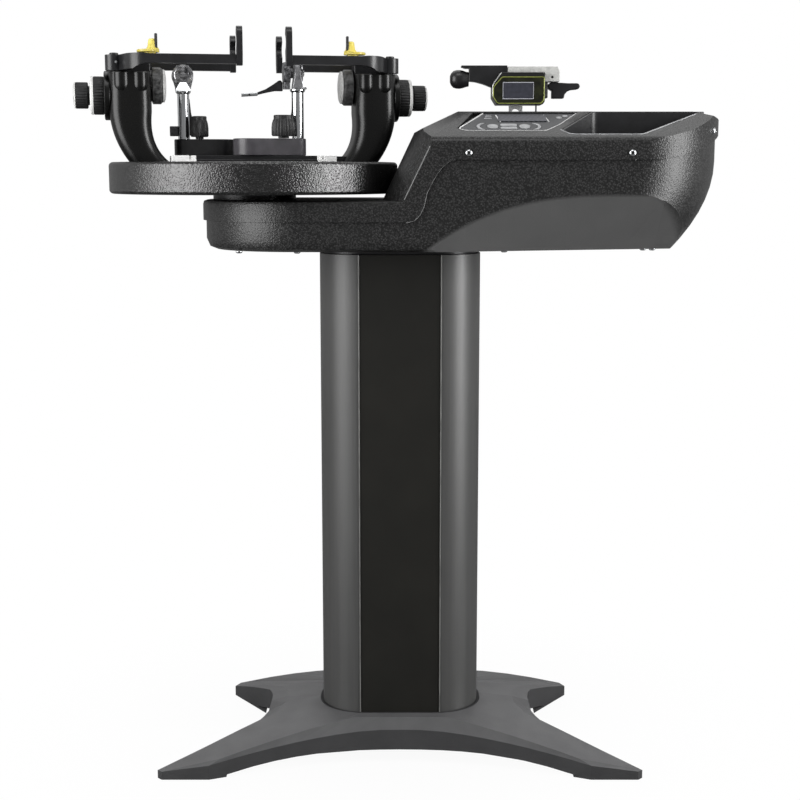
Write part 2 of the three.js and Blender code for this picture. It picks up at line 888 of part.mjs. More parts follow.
function bodySolid(inset, floor) {
  const steps = 6;
  const plan = (extra, z) => {
    const up = Math.min((z - housingBottom) / noseHeight, 1);
    const nose = housingRight - noseTuck * (1 - up) ** 2 + extra;
    const away = bodyInset + inset + extra;
    return atHeight(housingPlan(away, housingLeft, roundCorner(leftEndRadius - away), nose), z);
  };
  const levels = [plan(bodyFootRound, floor)];
  if (inset === 0) {
    levels.push(plan(bodyFootRound / 3, floor + bodyFootRise / 4));
  }
  for (let i = 0; i <= steps; i += 1) {
    levels.push(plan(0, housingBottom + bodyFootRise + (noseHeight - bodyFootRise) * (i / steps)));
  }
  levels.push(plan(0, ridgeZ));
  return loft(levels);
}

function makeBody() {
  const scooped = (inset, floor) => {
    const scoop = scoopSolid(inset);
    return cut(bodySolid(inset, floor), scoop, mirroredY(scoop));
  };
  const outer = scooped(0, housingBottom);
  const inner = scooped(wall, housingBottom + bodyFloor);
  const bodyBack = housingHalfDepth - bodyInset;
  const inletHole = block(
    inletX - inletWidth / 2 - fitGap, inletX + inletWidth / 2 + fitGap,
    bodyBack - wall * 2, bodyBack + overrun,
    powerZ - inletHeight / 2 - fitGap, powerZ + inletHeight / 2 + fitGap,
  );
  const rockerHole = block(
    rockerX - rockerWidth / 2 - fitGap, rockerX + rockerWidth / 2 + fitGap,
    bodyBack - wall * 2, bodyBack + overrun,
    powerZ - rockerHeight / 2 - rockerGap, powerZ + rockerHeight / 2 + rockerGap,
  );
  const shell = cut(outer, inner, partingRegion(-runningGap));
  place('lower_body', cut(shell, inletHole, rockerHole), grainedPlastic);
}

function makeCoverScrews() {
  const front = -housingHalfDepth;
  [['left', screwLeftX], ['right', screwRightX]].forEach(([side, x]) => {
    const head = rodY(screwHeadRadius, front - screwHeadHeight, front, 16);
    const shank = rodY(screwShankRadius, front - screwHeadHeight / 2, front + screwLength, 10);
    place(`cover_screw_${side}`, head.add(shank).translate([x, 0, screwZ]), chrome);
  });
}

// Control panel: a plate in a recess, a screen and six keys that travel into the plate
function crescent(side) {
  const x = crescentPitch;
  const inner = [[x, crescentRadius], [x + crescentHollow * 2, 0], [x, -crescentRadius]];
  const outline = [...arc(x, 0, crescentRadius, -1, 1, 8), ...curve(inner, 6).slice(0, -1)];
  return outline.map(([px, py]) => [side * px, py]);
}

function keyOutlines() {
  const round = (x) => arc(x, 0, ovalRadius, 0, 4, 16).slice(0, -1);
  const bar = (y) => roundedBox(barWidth / 2, barDepth / 2, barDepth / 3, 2).map(([px, py]) => [px, py + y]);
  return [
    ['key_far_left', crescent(-1)],
    ['key_left', round(-ovalPitch)],
    ['key_up', bar(barPitch)],
    ['key_down', bar(-barPitch)],
    ['key_right', round(ovalPitch)],
    ['key_far_right', crescent(1)],
  ];
}

function makePanel() {
  const low = -panelSink - panelThickness;
  let plate = prismZ(panelOutline(panelBackLeftX), low, -panelSink);
  keyOutlines().forEach(([name, outline]) => {
    const key = prismZ(outline, buttonProud - panelSink - buttonBody, buttonProud - panelSink);
    const hole = prismZ(grown(outline, fitGap * 1.5), low - overrun, overrun);
    const at = [buttonCentreX, buttonRun, 0];
    plate = plate.subtract(hole.translate(at));
    place(name, onSlope(key.translate(at)), blackPlastic);
  });
  place('control_panel', onSlope(plate), blackPlastic);
  const screenLow = -panelSink + runningGap;
  const screen = block(
    screenLeft, screenLeft + screenWidth,
    screenFrontRun, screenFrontRun + screenDepth,
    screenLow, screenLow + screenThickness,
  );
  place('screen', onSlope(screen), glassBlack);
}

function makeTray() {
  const outer = prismZ(trayOutline(0), trayFloorZ - trayWall, ridgeZ);
  const hollow = prismZ(trayOutline(-trayWall), trayFloorZ, ridgeZ + overrun);
  const under = prismX(slopeProfile(runningGap), housingLeft, housingRight);
  place('tool_tray', overlapOf(cut(outer, hollow), under), blackPlastic);
}

// Chassis, bearing and drive
function makeChassis() {
  const low = housingBottom + bodyFloor;
  const top = low + chassisThickness;
  const half = chassisHalfWidth;
  place('chassis_plate', block(chassisLeft, chassisRight, -half, half, low, top), steel);
  const seat = discBottom - runningGap;
  const profile = [
    [spindleRadius + fitGap, top],
    [bearingFootRadius, top],
    [bearingFootRadius, top + bearingFoot],
    [bearingTubeRadius, top + bearingFoot],
    [bearingTubeRadius, seat - bearingFlange],
    [bearingFlangeRadius, seat - bearingFlange],
    [bearingFlangeRadius, seat],
    [spindleRadius + fitGap, seat],
    [spindleRadius + fitGap, top],
  ];
  place('turntable_bearing', turned(profile, 40).translate([turntableX, 0, 0]), steel);

  const railRight = gearcaseRight - gearcaseLength;
  const width = railHalfWidth;
  const legEnd = railLeft + railLeg;
  const beam = block(railLeft, railRight, -width, width, railZ, railZ + railHeight);
  const leg = block(railLeft, legEnd, -width, width, top, barAxisZ + railLeg);
  const barLeft = legEnd - railLeg / 2;
  const seatBore = rodX(guideBarRadius + runningGap, barLeft, railRight + overrun);
  place('tension_rail', cut(beam.add(leg), seatBore.translate([0, 0, barAxisZ])), steel);
  const bar = rodX(guideBarRadius, barLeft + runningGap, railRight - runningGap);
  place('guide_bar', bar.translate([0, 0, barAxisZ]), steel);

  const caseHalf = gearcaseHalfWidth;
  const gearcase = block(railRight, gearcaseRight, -caseHalf, caseHalf, top, barAxisZ + gearcaseRise);
  place('drive_gearcase', gearcase, blackMetal);
  const motorRight = railRight - runningGap;
  const motor = rodX(motorRadius, motorRight - motorLength, motorRight, 28);
  place('drive_motor', motor.translate([0, 0, top + motorRadius + runningGap]), blackMetal);
  const boardRight = boardLeft + boardLength;
  const boardBack = boardY + boardThickness;
  const board = block(boardLeft, boardRight, boardY, boardBack, top, top + boardHeight);
  const foot = block(boardLeft, boardRight, half - boardFoot / 2, boardBack, top, top + boardThickness);
  place('control_board', board.add(foot), blackPlastic);
}

function makePower() {
  const back = housingHalfDepth - bodyInset;
  const body = block(
    inletX - inletWidth / 2, inletX + inletWidth / 2,
    back - inletDepth, back + inletProud,
    powerZ - inletHeight / 2, powerZ + inletHeight / 2,
  );
  const socket = block(
    inletX - inletWidth / 2 + inletWallThickness, inletX + inletWidth / 2 - inletWallThickness,
    back + inletProud - socketDepth, back + inletProud + overrun,
    powerZ - inletHeight / 2 + inletWallThickness, powerZ + inletHeight / 2 - inletWallThickness,
  );
  place('power_inlet', cut(body, socket), blackPlastic);
  const half = rockerHeight / 2;
  const profile = [
    [back + rockerProud, powerZ - half],
    [back + rockerProud / 3, powerZ + half],
    [back - rockerDepth + rockerProud, powerZ + half / 3],
    [back - rockerDepth + rockerProud, powerZ - half / 3],
  ];
  const rocker = prismX(profile, rockerX - rockerWidth / 2, rockerX + rockerWidth / 2);
  place('power_switch', rocker, blackPlastic);
}

// Turntable, in a group of its own that is turned as it stands in use
const turntable = new THREE.Group();
turntable.position.x = turntableX;
turntable.rotation.z = THREE.MathUtils.degToRad(turntableTurnDeg);
machine.add(turntable);

function makeDisc() {
  const spindleFoot = housingBottom + bodyFloor + chassisThickness + runningGap;
  const profile = [
    [0, spindleFoot],
    [spindleRadius, spindleFoot],
    [spindleRadius, discBottom],
    [discRadius - discRound, discBottom],
    [discRadius - discRound / 4, discBottom + discRound / 4],
    [discRadius, discBottom + discRound],
    [discRadius, discTop - discRound],
    [discRadius - discRound / 4, discTop - discRound / 4],
    [discRadius - discRound, discTop],
    [0, discTop],
  ];
  place('turntable_disc', turned(profile, 72), grainedPlastic, turntable);
  const trackTop = discTop + trackBed + railTrackHeight;
  const half = trackHalfWidth;
  const bed = block(-trackLeftEnd, trackRightEnd, -half, half, discTop, discTop + trackBed);
  const ends = [
    block(-trackLeftEnd, -railTrackHalf - trackEndGap, -half, half, discTop + trackBed - overrun, trackTop),
    block(railTrackHalf + trackEndGap, trackRightEnd, -half, half, discTop + trackBed - overrun, trackTop),
  ];
  const rails = [-trackY, trackY].map((y) => block(
    -railTrackHalf, railTrackHalf,
    y - railTrackWidth / 2, y + railTrackWidth / 2,
    discTop + trackBed - overrun, trackTop,
  ));
  place('clamp_track', join(bed, ...ends, ...rails), steel, turntable);
}

// A tower is drawn on the right, with X outwards, and turned half round for the left
function towerBody() {
  const height = [discTop, towerAnkleZ, towerCalfZ, towerBendZ];
  const along = (places) => {
    const points = places.map((x, i) => [x, height[i]]);
    return [points[0], ...curve(points, 6)];
  };
  const outer = along([footTuck, ankleTuck, calfTuck, 0].map((tuck) => towerOuter - tuck));
  const inner = along([-footFlare, -ankleFlare, calfHollow, 0].map((step) => towerInner + step));
  const section = (x0, x1) => {
    const front = towerFrontRound;
    const back = towerBackRound;
    const half = towerHalfDepth;
    return [
      ...arc(x0 + front, -half + front, front, -2, -1, 3),
      ...arc(x1 - front, -half + front, front, -1, 0, 3),
      ...arc(x1 - back, half - back, back, 0, 1, 5),
      ...arc(x0 + back, half - back, back, 1, 2, 5),
    ];
  };
  const loops = outer.map(([x, z], i) => atHeight(section(inner[i][0], x), z));
  loops.push(atHeight(section(towerInner, towerOuter), towerTop));
  return loft(loops);
}

function makeTower(side, group) {
  const body = side === 'left' ? mirroredY(towerBody()) : towerBody();
  const half = carrierHalfDepth;
  const low = towerTop - overrun;
  const carrier = block(towerInner + fitGap, towerOuter - carrierEdge, -half, half, low, carrierTop);
  const flangeEnd = towerOuter + flangeThickness;
  const flange = rodX(flangeRadius, towerOuter - overrun, flangeEnd, 32).translate([0, 0, knobAxisZ]);
  const bore = rodX(stemRadius + runningGap, towerInner - footFlare, flangeEnd + overrun);
  const pin = rod(pivotRadius, low, rootTop + overrun, 16);
  const pins = [-pivotY, pivotY].map((y) => pin.translate([pivotReach, y, 0]));
  const solid = cut(join(body, carrier, flange, ...pins), bore.translate([0, 0, knobAxisZ]));
  place(`${side}_tower`, solid, blackMetal, group);
}

function makePad(side, group) {
  const face = towerInner - runningGap - padThickness;
  const back = towerInner - runningGap;
  const disc = turnedX([
    [0, face],
    [padRadius - padCrown, face],
    [padRadius, face + padCrown],
    [padRadius, back - padCrown / 2],
    [padRadius - padCrown, back],
    [0, back],
  ], 32).translate([0, 0, knobAxisZ + padRise]);
  const stem = rodX(stemRadius, back - padThickness / 3, towerOuter - overrun).translate([0, 0, knobAxisZ]);
  place(`${side}_pad`, disc.add(stem), blackMetal, group);
}

function makeKnobs(side, group) {
  const start = towerOuter + flangeThickness + runningGap;
  const end = start + padKnobLength;
  const edge = collarLength / 3;
  const padKnob = turnedX([
    [0, start],
    [padKnobRadius - edge, start],
    [padKnobRadius, start + edge],
    [padKnobRadius, end - edge],
    [padKnobRadius - edge, end],
    [0, end],
  ], 36).translate([0, 0, knobAxisZ]);
  place(`${side}_pad_knob`, padKnob, blackPlastic, group);
  const collarStart = end + runningGap;
  const knobStart = collarStart + collarLength;
  const knobEnd = knobStart + armKnobLength;
  const armKnob = turnedX([
    [0, collarStart],
    [collarRadius, collarStart],
    [collarRadius, knobStart],
    [armKnobRadius, knobStart],
    [armKnobRadius, knobEnd - armKnobEnd],
    [armKnobRadius - armKnobEnd / 2, knobEnd],
    [0, knobEnd],
  ], 30).translate([0, 0, knobAxisZ]);
  place(`${side}_arm_knob`, armKnob, blackPlastic, group);
}

function makeArm(side, end, y, reach, group) {
  const pivot = [pivotReach, pivotY];
  const bend = [[rootEnd, pivotY], [pivotReach - armBossRadius, armY], [armBendEnd, armY]];
  const centre = [pivot, ...curve([pivot, ...bend], 10), [reach, armY]];
  const plan = prismZ(ribbon(centre, armHalfWidth), rootBottom, rootTop);
  const boss = rod(armBossRadius, rootBottom, rootTop, 24).translate([...pivot, 0]);
  const far = pivotReach + armBossRadius + overrun;
  const near = reach - overrun;
  const thinEnd = armBendEnd - armHalfWidth;
  const thin = [thinEnd, armBottom];
  const sideView = [
    [far, rootBottom],
    [far, rootTop],
    [rootEnd - armBossRadius, rootTop],
    [thinEnd, armTop],
    [near, armTop],
    [near, armBottom],
    thin,
    ...curve([thin, [armBendEnd + armHalfWidth, armBottom], [rootEnd, rootBottom]], 4),
  ];
  const view = prismY(sideView.reverse(), -pivotY, armY + armHalfWidth + overrun);
  const outer = armY + hookOuter;
  const inner = armY - hookInner;
  const crown = (hookOuter + hookInner) / 2;
  const notchTop = hookNotchZ + hookNotchHeight / 2;
  const notchBottom = hookNotchZ - hookNotchHeight / 2;
  const hookOutline = [
    [armY + armHalfWidth, armBottom - overrun],
    [outer, armTop],
    [outer, hookTop - crown],
    ...arc((outer + inner) / 2, hookTop - crown, crown, 0, 2, 10).slice(1, -1),
    [inner, Math.max(notchTop, hookTop - crown)],
    ...curve([[inner, notchTop], [inner + hookNotchDepth * 1.6, hookNotchZ], [inner, notchBottom]], 6),
    [armY - armHalfWidth, armBottom - overrun],
  ];
  const hook = prismX(hookOutline, reach - hookThickness / 2, reach + hookThickness / 2);
  const hole = rod(pivotRadius + runningGap, rootBottom - overrun, rootTop + overrun, 16);
  const arm = cut(overlapOf(plan.add(boss), view).add(hook), hole.translate([...pivot, 0]));
  place(`${side}_${end}_arm`, y < 0 ? mirroredY(arm) : arm, blackMetal, group);
}

function makeHoldDown(side, group) {
  const low = carrierTop + runningGap;
  const rim = rod(holdDownRadius, low, low + holdDownRim);
  const body = turned([
    [0, low],
    [holdDownBody, low],
    [holdDownBody, low + holdDownRim * 1.4],
    [holdDownTip, low + holdDownHeight],
    [0, low + holdDownHeight],
  ], 24).translate([-holdDownOffset, 0, 0]);
  const pin = rod(holdDownPinRadius, low, low + holdDownPinTop, 10);
  const solid = join(rim, body, pin.translate([-holdDownPinOffset, 0, 0]));
  place(`${side}_hold_down`, solid.translate([holdDownReach, 0, 0]), yellowPlastic, group);
}

function makeTowers() {
  [['right', 0, rightArmReach], ['left', Math.PI, leftArmReach]].forEach(([side, turn, reach]) => {
    const group = new THREE.Group();
    group.rotation.z = turn;
    turntable.add(group);
    makeTower(side, group);
    makePad(side, group);
    makeKnobs(side, group);
    const hookReach = side === 'left' ? reach : -reach;
    makeArm(side, side === 'left' ? 'rear' : 'front', -1, hookReach, group);
    makeArm(side, side === 'left' ? 'front' : 'rear', 1, hookReach, group);
    makeHoldDown(side, group);
  });
}

// String clamps: a casting that slides on the track, with a post, a swivelling head and a lever
function makeClamp(side, postX, y, run, postEnd, inwards, headTurn) {
  const low = discTop + trackBed + railTrackHeight + runningGap;
  const top = low + clampBaseHeight;
  const group = new THREE.Group();
  group.position.set(postX, y, 0);
  turntable.add(group);
  const swivelX = run - baseSwivelEnd;
  const outline = pear(0, postEnd, swivelX, baseSwivelEnd).map(([px, py]) => [px * inwards, py * inwards]);
  const post = turned([
    [0, top],
    [postRadius, top],
    [postRadius, postTop],
    [postCollarRadius, postTop + postCollar / 2],
    [postCollarRadius, postTop + postCollar],
    [0, postTop + postCollar],
  ], 24);
  place(`${side}_clamp_base`, prismZ(outline, low, top), blackMetal, group);
  const head = new THREE.Group();
  head.rotation.z = headTurn;
  group.add(head);
  place(`${side}_clamp_post`, post, chrome, head);

  const seat = postTop + postCollar;
  const jaw = prismX([
    [-jawFootHalf, seat],
    [jawFootHalf, seat],
    ...arc(0, jawCentreZ, jawRadius, -0.35, 2.35, 18),
  ], -jawOuter, -jawInner);
  const slitX = (-jawInner - jawOuter) / 2;
  const slitLeft = slitX - jawSlit / 2;
  const slitHalf = jawRadius + overrun;
  const slit = block(slitLeft, slitLeft + jawSlit, -slitHalf, slitHalf, jawSlitBottom, jawCentreZ + slitHalf);
  const bracket = prismY([
    [-jawInner - overrun, seat],
    [jawInner, seat],
    [jawInner + overrun / 2, jawSlitBottom],
    [jawInner / 2, bracketTop],
    [-jawInner - overrun, bracketTop],
  ], -bracketHalfDepth, bracketHalfDepth);
  place(`${side}_clamp_head`, cut(join(jaw, bracket), slit), blackMetal, head);

  const middleX = (leverTipX + leverPivotX) / 2;
  const root = -jawOuter - fitGap;
  const bossTop = [leverPivotX, leverPivotZ + leverBoss];
  const tip = [leverTipX, leverTipZ];
  const tipTop = leverTipZ + leverTipHeight;
  const lever = prismY([
    [root, leverRootZ],
    [root, leverPivotZ],
    bossTop,
    ...curve([bossTop, [middleX, tipTop + leverTipHeight / 5], [leverTipX, tipTop]], 6),
    tip,
    ...curve([tip, [middleX, tipTop - leverTipHeight / 2], [root, leverRootZ]], 6).slice(0, -1),
  ], -leverHalfWidth, leverHalfWidth);
  const boss = rodY(leverBoss, -leverHalfWidth, leverHalfWidth, 16);
  place(`${side}_clamp_lever`, lever.add(boss.translate([leverPivotX, 0, leverPivotZ])), steel, head);

  const knobLow = top + runningGap;
  const grip = knobLow + lockNeck;
  const knob = turned([
    [0, knobLow],
    [lockNeckRadius, knobLow],
    [lockNeckRadius, grip],
    [lockRadius, grip],
    [lockRadius, grip + lockWide],
    [lockTopRadius, grip + lockWide],
    [lockTopRadius, grip + lockWide + lockTop],
    [0, grip + lockWide + lockTop],
  ], 28).scale([1, lockFlatShare, 1]);
  const fin = prismY([
    [-finReach, grip],
    [-finReach + finWidth, grip],
    ...curve([
      [-finReach + finWidth, grip],
      [-finReach + finThickness, grip + lockWide],
      [-finReach, knobLow + finTop],
    ], 5),
  ], -finThickness / 2, finThickness / 2);
  const lock = inwards > 0 ? knob.rotate([0, 0, 90]).add(fin) : knob.add(fin.rotate([0, 0, 180]));
  place(`${side}_clamp_lock`, lock.translate([lockOffsetX * inwards, lockOffsetY, 0]), blackPlastic, group);
}

// Tension head, on a carriage that runs on the rail
function makeHead() {
  const railTop = railZ + railHeight + runningGap;
  const left = carriageX - carriageHalfLength;
  const right = carriageX + carriageHalfLength;
  const half = carriageHalfWidth;
  const truck = block(left, right, -half, half, railTop, railTop + carriageHeight);
  const bushing = rodX(guideBarRadius + runningGap, left - overrun, right + overrun);
  const web = block(
    carriageX - webHalfLength, carriageX + webHalfLength,
    -webHalfWidth, webHalfWidth,
    railTop + carriageHeight - overrun, headBottom,
  );
  place('head_carriage', cut(truck.add(web), bushing.translate([0, 0, barAxisZ])), steel);

  const octagon = [
    [headLeft + headChamfer / 2, headBottom],
    [headRight - headChamfer / 4, headBottom],
    [headRight, headBottom + headChamfer / 3],
    [headRight, headTop - headChamfer / 3],
    [headRight - headChamfer / 4, headTop],
    [headLeft + headChamfer, headTop],
    [headLeft, headTop - headChamfer * 1.4],
    [headLeft, headBottom + headChamfer * 0.8],
  ];
  place('head_body', prismY(octagon, -headHalfDepth, headHalfDepth), blackPlastic);

  const cheek = headRight + runningGap;
  const over = headTop + runningGap;
  const gripper = prismY([
    [gripperLeft, over],
    [cheek, over],
    [cheek, headTop - gripperDrop],
    [gripperRight, headTop - gripperDrop],
    [gripperRight, gripperTop - headChamfer / 2],
    [gripperRight - headChamfer / 4, gripperTop],
    [gripperLeft, gripperTop],
  ], -gripperHalfDepth, gripperHalfDepth);
  const hole = rodY(gripperHole, -gripperHalfDepth - overrun, gripperHalfDepth + overrun, 12)
    .translate([(cheek + gripperRight) / 2, 0, headTop - gripperDrop / 2]);
  place('string_gripper', cut(gripper, hole), steel);

  const shoulder = headLeft + headChamfer;
  const gap = runningGap * 2;
  const hornFoot = ballZ - hornDrop;
  const heel = [headLeft - gap, headBottom + headChamfer * 2];
  const horn = [
    [hornLeft - hornLip, hornTop],
    [hornLeft - hornLip, hornTop - hornLipThickness / 2],
    [hornLeft - hornLip / 2, hornTop - hornLipThickness],
    [hornLeft, hornTop - hornLipThickness],
    [hornLeft, hornFoot],
    ...curve([[hornLeft, hornFoot], [hornLeft + headChamfer, hornFoot], heel], 3),
    [headLeft - gap, headTop - headChamfer * 1.4],
    [shoulder - gap, over],
    [gripperLeft - gap, over],
    [gripperLeft - gap, hornTop],
  ];
  place('guide_horn', prismY(horn, -hornHalfDepth, hornHalfDepth), blackPlastic);
  const flangeEnd = hornLeft - runningGap;
  const flangeStart = flangeEnd - ballFlange;
  const ball = arc(0, ballX, ballRadius, -1, 0.55, 8).map(([r, x]) => [Math.max(r, 0), x]);
  ball[0][0] = 0;
  const ballKnob = turnedX([
    ...ball,
    [ballRadius * 0.5, flangeStart],
    [ballFlangeRadius, flangeStart],
    [ballFlangeRadius, flangeEnd],
    [0, flangeEnd],
  ], 24).translate([0, 0, ballZ]);
  place('guide_knob', ballKnob, blackPlastic);

  const finger = triggerThickness / 2;
  const bladeFoot = triggerPivotZ - triggerBoss * 3;
  const bladeEnd = triggerPivotX + triggerBoss * 3;
  const tipStart = [triggerTipX - finger, triggerPivotZ - finger];
  const trigger = prismY([
    [triggerPivotX, triggerPivotZ + triggerBoss],
    [triggerPivotX, bladeFoot],
    [bladeEnd, bladeFoot],
    ...curve([[bladeEnd, bladeFoot], [bladeEnd, tipStart[1]], tipStart], 4),
    ...arc(tipStart[0], triggerPivotZ, finger, -1, 1, 6).slice(1),
    [triggerPivotX + triggerBoss * 4, triggerPivotZ + finger],
  ].reverse(), -triggerHalfDepth, triggerHalfDepth);
  const boss = rodY(triggerBoss, -triggerHalfDepth, triggerHalfDepth, 18);
  place('trigger_lever', trigger.add(boss.translate([triggerPivotX, 0, triggerPivotZ])), blackPlastic);
}

makeBase();
makeColumn();
makeCover();
makeBody();
makeCoverScrews();
makePanel();
makeTray();
makeChassis();
makePower();
makeDisc();
makeTowers();
makeClamp('left', leftPostX, trackY, leftBaseRun, leftPostEnd, 1, -quarterTurn);
makeClamp('right', rightPostX, -trackY, rightBaseRun, rightPostEnd, -1, 0);
makeHead();

// The origin lies midway between the left tower's arm knob and the nose
machine.updateMatrixWorld(true);
const bounds = new THREE.Box3().setFromObject(machine, true);
machine.position.x = -(bounds.min.x + bounds.max.x) / 2;
machine.position.y = -(bounds.min.y + bounds.max.y) / 2;

export default machine;
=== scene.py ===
import math

import bmesh
import bpy
from mathutils import Matrix, Vector


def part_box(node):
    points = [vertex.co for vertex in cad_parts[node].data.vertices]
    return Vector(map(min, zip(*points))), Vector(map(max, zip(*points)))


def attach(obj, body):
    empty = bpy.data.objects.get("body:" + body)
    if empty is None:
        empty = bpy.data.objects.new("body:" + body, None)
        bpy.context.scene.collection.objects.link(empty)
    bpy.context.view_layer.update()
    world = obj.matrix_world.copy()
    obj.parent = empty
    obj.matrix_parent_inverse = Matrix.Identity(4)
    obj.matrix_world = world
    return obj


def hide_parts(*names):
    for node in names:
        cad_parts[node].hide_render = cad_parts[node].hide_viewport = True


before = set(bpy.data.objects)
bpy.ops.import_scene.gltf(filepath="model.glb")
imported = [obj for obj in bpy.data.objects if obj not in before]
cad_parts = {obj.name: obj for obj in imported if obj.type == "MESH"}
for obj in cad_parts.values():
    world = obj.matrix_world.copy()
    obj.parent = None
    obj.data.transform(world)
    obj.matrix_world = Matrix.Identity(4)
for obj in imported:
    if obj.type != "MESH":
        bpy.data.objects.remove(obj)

# The studio: a camera a little over two metres in front of the machine, at the height of its
# deck and pitched down, with a tall soft box on each side and two above. A fill lamp behind
# lights the matt surfaces alone, and the floor and the background are white.
for default in ("Cube", "Light", "Camera"):
    if default in bpy.data.objects:
        bpy.data.objects.remove(bpy.data.objects[default])
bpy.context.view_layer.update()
scene = bpy.context.scene
scene.view_settings.view_transform = "Standard"
column_low, column_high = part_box("column")
axis = Vector(((column_low.x + column_high.x) / 2, (column_low.y + column_high.y) / 2, 0))

camera_back = 2.21419
camera_height = 0.90197
camera_pitch = math.radians(9.04)
camera_data = bpy.data.cameras.new("camera")
camera_data.lens = 64.5
camera_data.sensor_width = 36
camera = bpy.data.objects.new("camera", camera_data)
camera.location = axis + Vector((0, -camera_back, camera_height))
camera.rotation_euler = (math.pi / 2 - camera_pitch, 0, 0)
scene.collection.objects.link(camera)
scene.camera = camera


def softbox(name, place, target, width, height, watts):
    """An area lamp that looks at a target."""
    data = bpy.data.lights.new(name, "AREA")
    data.shape = "RECTANGLE"
    data.size, data.size_y = width, height
    data.energy = watts
    lamp = bpy.data.objects.new(name, data)
    lamp.location = place
    lamp.rotation_euler = (Vector(target) - Vector(place)).to_track_quat("-Z", "Y").to_euler()
    scene.collection.objects.link(lamp)
    return lamp


side_reach, side_centre, side_tall = 2.6, 1.1, 2.4
machine_middle, deck_middle = (0, 0, 0.7), (0, 0, 0.9)
for name, degrees, width, watts in (("left_box", -56, 1.8, 78), ("right_box", 67, 1.1, 87)):
    angle = math.radians(degrees)
    place = (side_reach * math.sin(angle), -side_reach * math.cos(angle), side_centre)
    softbox(name, place, machine_middle, width, side_tall, watts)
softbox("rear_top_box", (0, 1.3, 2.9), deck_middle, 2.6, 1.2, 12)
softbox("front_top_box", (0, -1.2, 3.2), machine_middle, 1.6, 1.0, 16)
rear_fill = softbox("rear_fill", (0, 2.7, 1.3), machine_middle, 2.4, 2.4, 70)
rear_fill.visible_glossy = False


class Wire:
    """An output of a shader node, so that masks are worked out in plain arithmetic."""

    def __init__(self, tree, socket):
        self.tree, self.socket = tree, socket

    def maths(self, operation, first, second):
        return self.tree.add("ShaderNodeMath", {"operation": operation}, {0: first, 1: second})

    def __add__(self, other):
        return self.maths("ADD", self, other)

    def __sub__(self, other):
        return self.maths("SUBTRACT", self, other)

    def __rsub__(self, other):
        return self.maths("SUBTRACT", other, self)

    def __mul__(self, other):
        return self.maths("MULTIPLY", self, other)

    def __truediv__(self, other):
        return self.maths("DIVIDE", self, other)

    def __pow__(self, other):
        return self.maths("POWER", self, other)

    def __abs__(self):
        return self.maths("ABSOLUTE", self, 0)

    __radd__ = __add__

    def held(self):
        """The value kept between 0 and 1."""
        return self.tree.add("ShaderNodeClamp", {}, {"Value": self})


class Shading:
    """A node tree, filled by one method that takes a node's type, settings and sockets."""

    def __init__(self, owner):
        owner.use_nodes = True
        self.owner = owner
        self.nodes, self.links = owner.node_tree.nodes, owner.node_tree.links

    def feed(self, node, sockets):
        """Sets a node's inputs, given by name or by number, to values or to wires."""
        for name, value in sockets.items():
            named = [s for s in node.inputs if s.name == name and s.enabled]
            socket = named[0] if named else node.inputs[name]
            if isinstance(value, Wire):
                self.links.new(value.socket, socket)
            else:
                socket.default_value = value

    def add(self, kind, settings, sockets, output=None):
        """A new node's named output, or the first that is in use."""
        node = self.nodes.new(kind)
        for name, value in settings.items():
            setattr(node, name, value)
        self.feed(node, sockets)
        used = [s for s in node.outputs if s.enabled]
        return Wire(self, node.outputs[output] if output else used[0])

    def mixed(self, share, first, second):
        """The first colour where share is 0, and the second where it is 1."""
        return self.add(
            "ShaderNodeMix", {"data_type": "RGBA"}, {"Factor": share, "A": first, "B": second}
        )


def paint(code):
    """The shader's colour for a #rrggbb colour as it is seen on a screen."""
    shares = [int(code[i:i + 2], 16) / 255 for i in (1, 3, 5)]
    linear = [s / 12.92 if s < 0.04045 else ((s + 0.055) / 1.055) ** 2.4 for s in shares]
    return (*linear, 1)


ray_kinds = ("Is Camera Ray", "Is Transmission Ray", "Is Glossy Ray")
world = bpy.data.worlds.new("studio")
scene.world = world
studio = Shading(world)
to_camera, through_glass, mirrored = (
    studio.add("ShaderNodeLightPath", {}, {}, kind) for kind in ray_kinds
)
direction = studio.add("ShaderNodeTexCoord", {}, {}, "Generated")
across, away, upwards = (
    studio.add("ShaderNodeSeparateXYZ", {}, {"Vector": direction}, letter) for letter in "XYZ"
)
wall_rise, wall_centre, wall_fall, wall_glow = 1.4, 0.68, 2.0, 0.4
side_glow, sky_glow, least_glow = 0.35, 0.08, 0.01
band = (1 - abs(upwards - wall_centre) * wall_fall).held()
rear_wall = (away * wall_rise).held() * band * wall_glow
backdrop = (rear_wall + across * across * side_glow + upwards * sky_glow + least_glow).held()
white_share = (to_camera + through_glass + mirrored * backdrop).held()
ambient, white = 0.24, (1, 1, 1, 1)
studio.feed(studio.nodes["Background"], {
    "Color": studio.mixed(white_share, (ambient, ambient, ambient, 1), white), "Strength": 1,
})

floor_reach = 3
floor_mesh = bpy.data.meshes.new("floor")
corners = [(x * floor_reach, y * floor_reach, 0) for x, y in ((-1, -1), (1, -1), (1, 1), (-1, 1))]
floor_mesh.from_pydata(corners, [], [(0, 1, 2, 3)])
floor = bpy.data.objects.new("floor", floor_mesh)
scene.collection.objects.link(floor)
floor_paint = bpy.data.materials.new("white_floor")
floor_mesh.materials.append(floor_paint)
ground = Shading(floor_paint)
to_camera, through_glass, mirrored = (
    ground.add("ShaderNodeLightPath", {}, {}, kind) for kind in ray_kinds
)
floor_place = ground.add("ShaderNodeTexCoord", {}, {}, "Object")
floor_distance = ground.add(
    "ShaderNodeVectorMath", {"operation": "LENGTH"}, {0: floor_place}, "Value"
)
glow_near, glow_rise = 0.93, 0.1
glow_share = (floor_distance * glow_rise + glow_near).held()
dark_in_mirrors = 0.8
floor_tone = ground.mixed(mirrored * dark_in_mirrors, paint("#cfcfcf"), paint("#000000"))
matt = ground.nodes["Principled BSDF"]
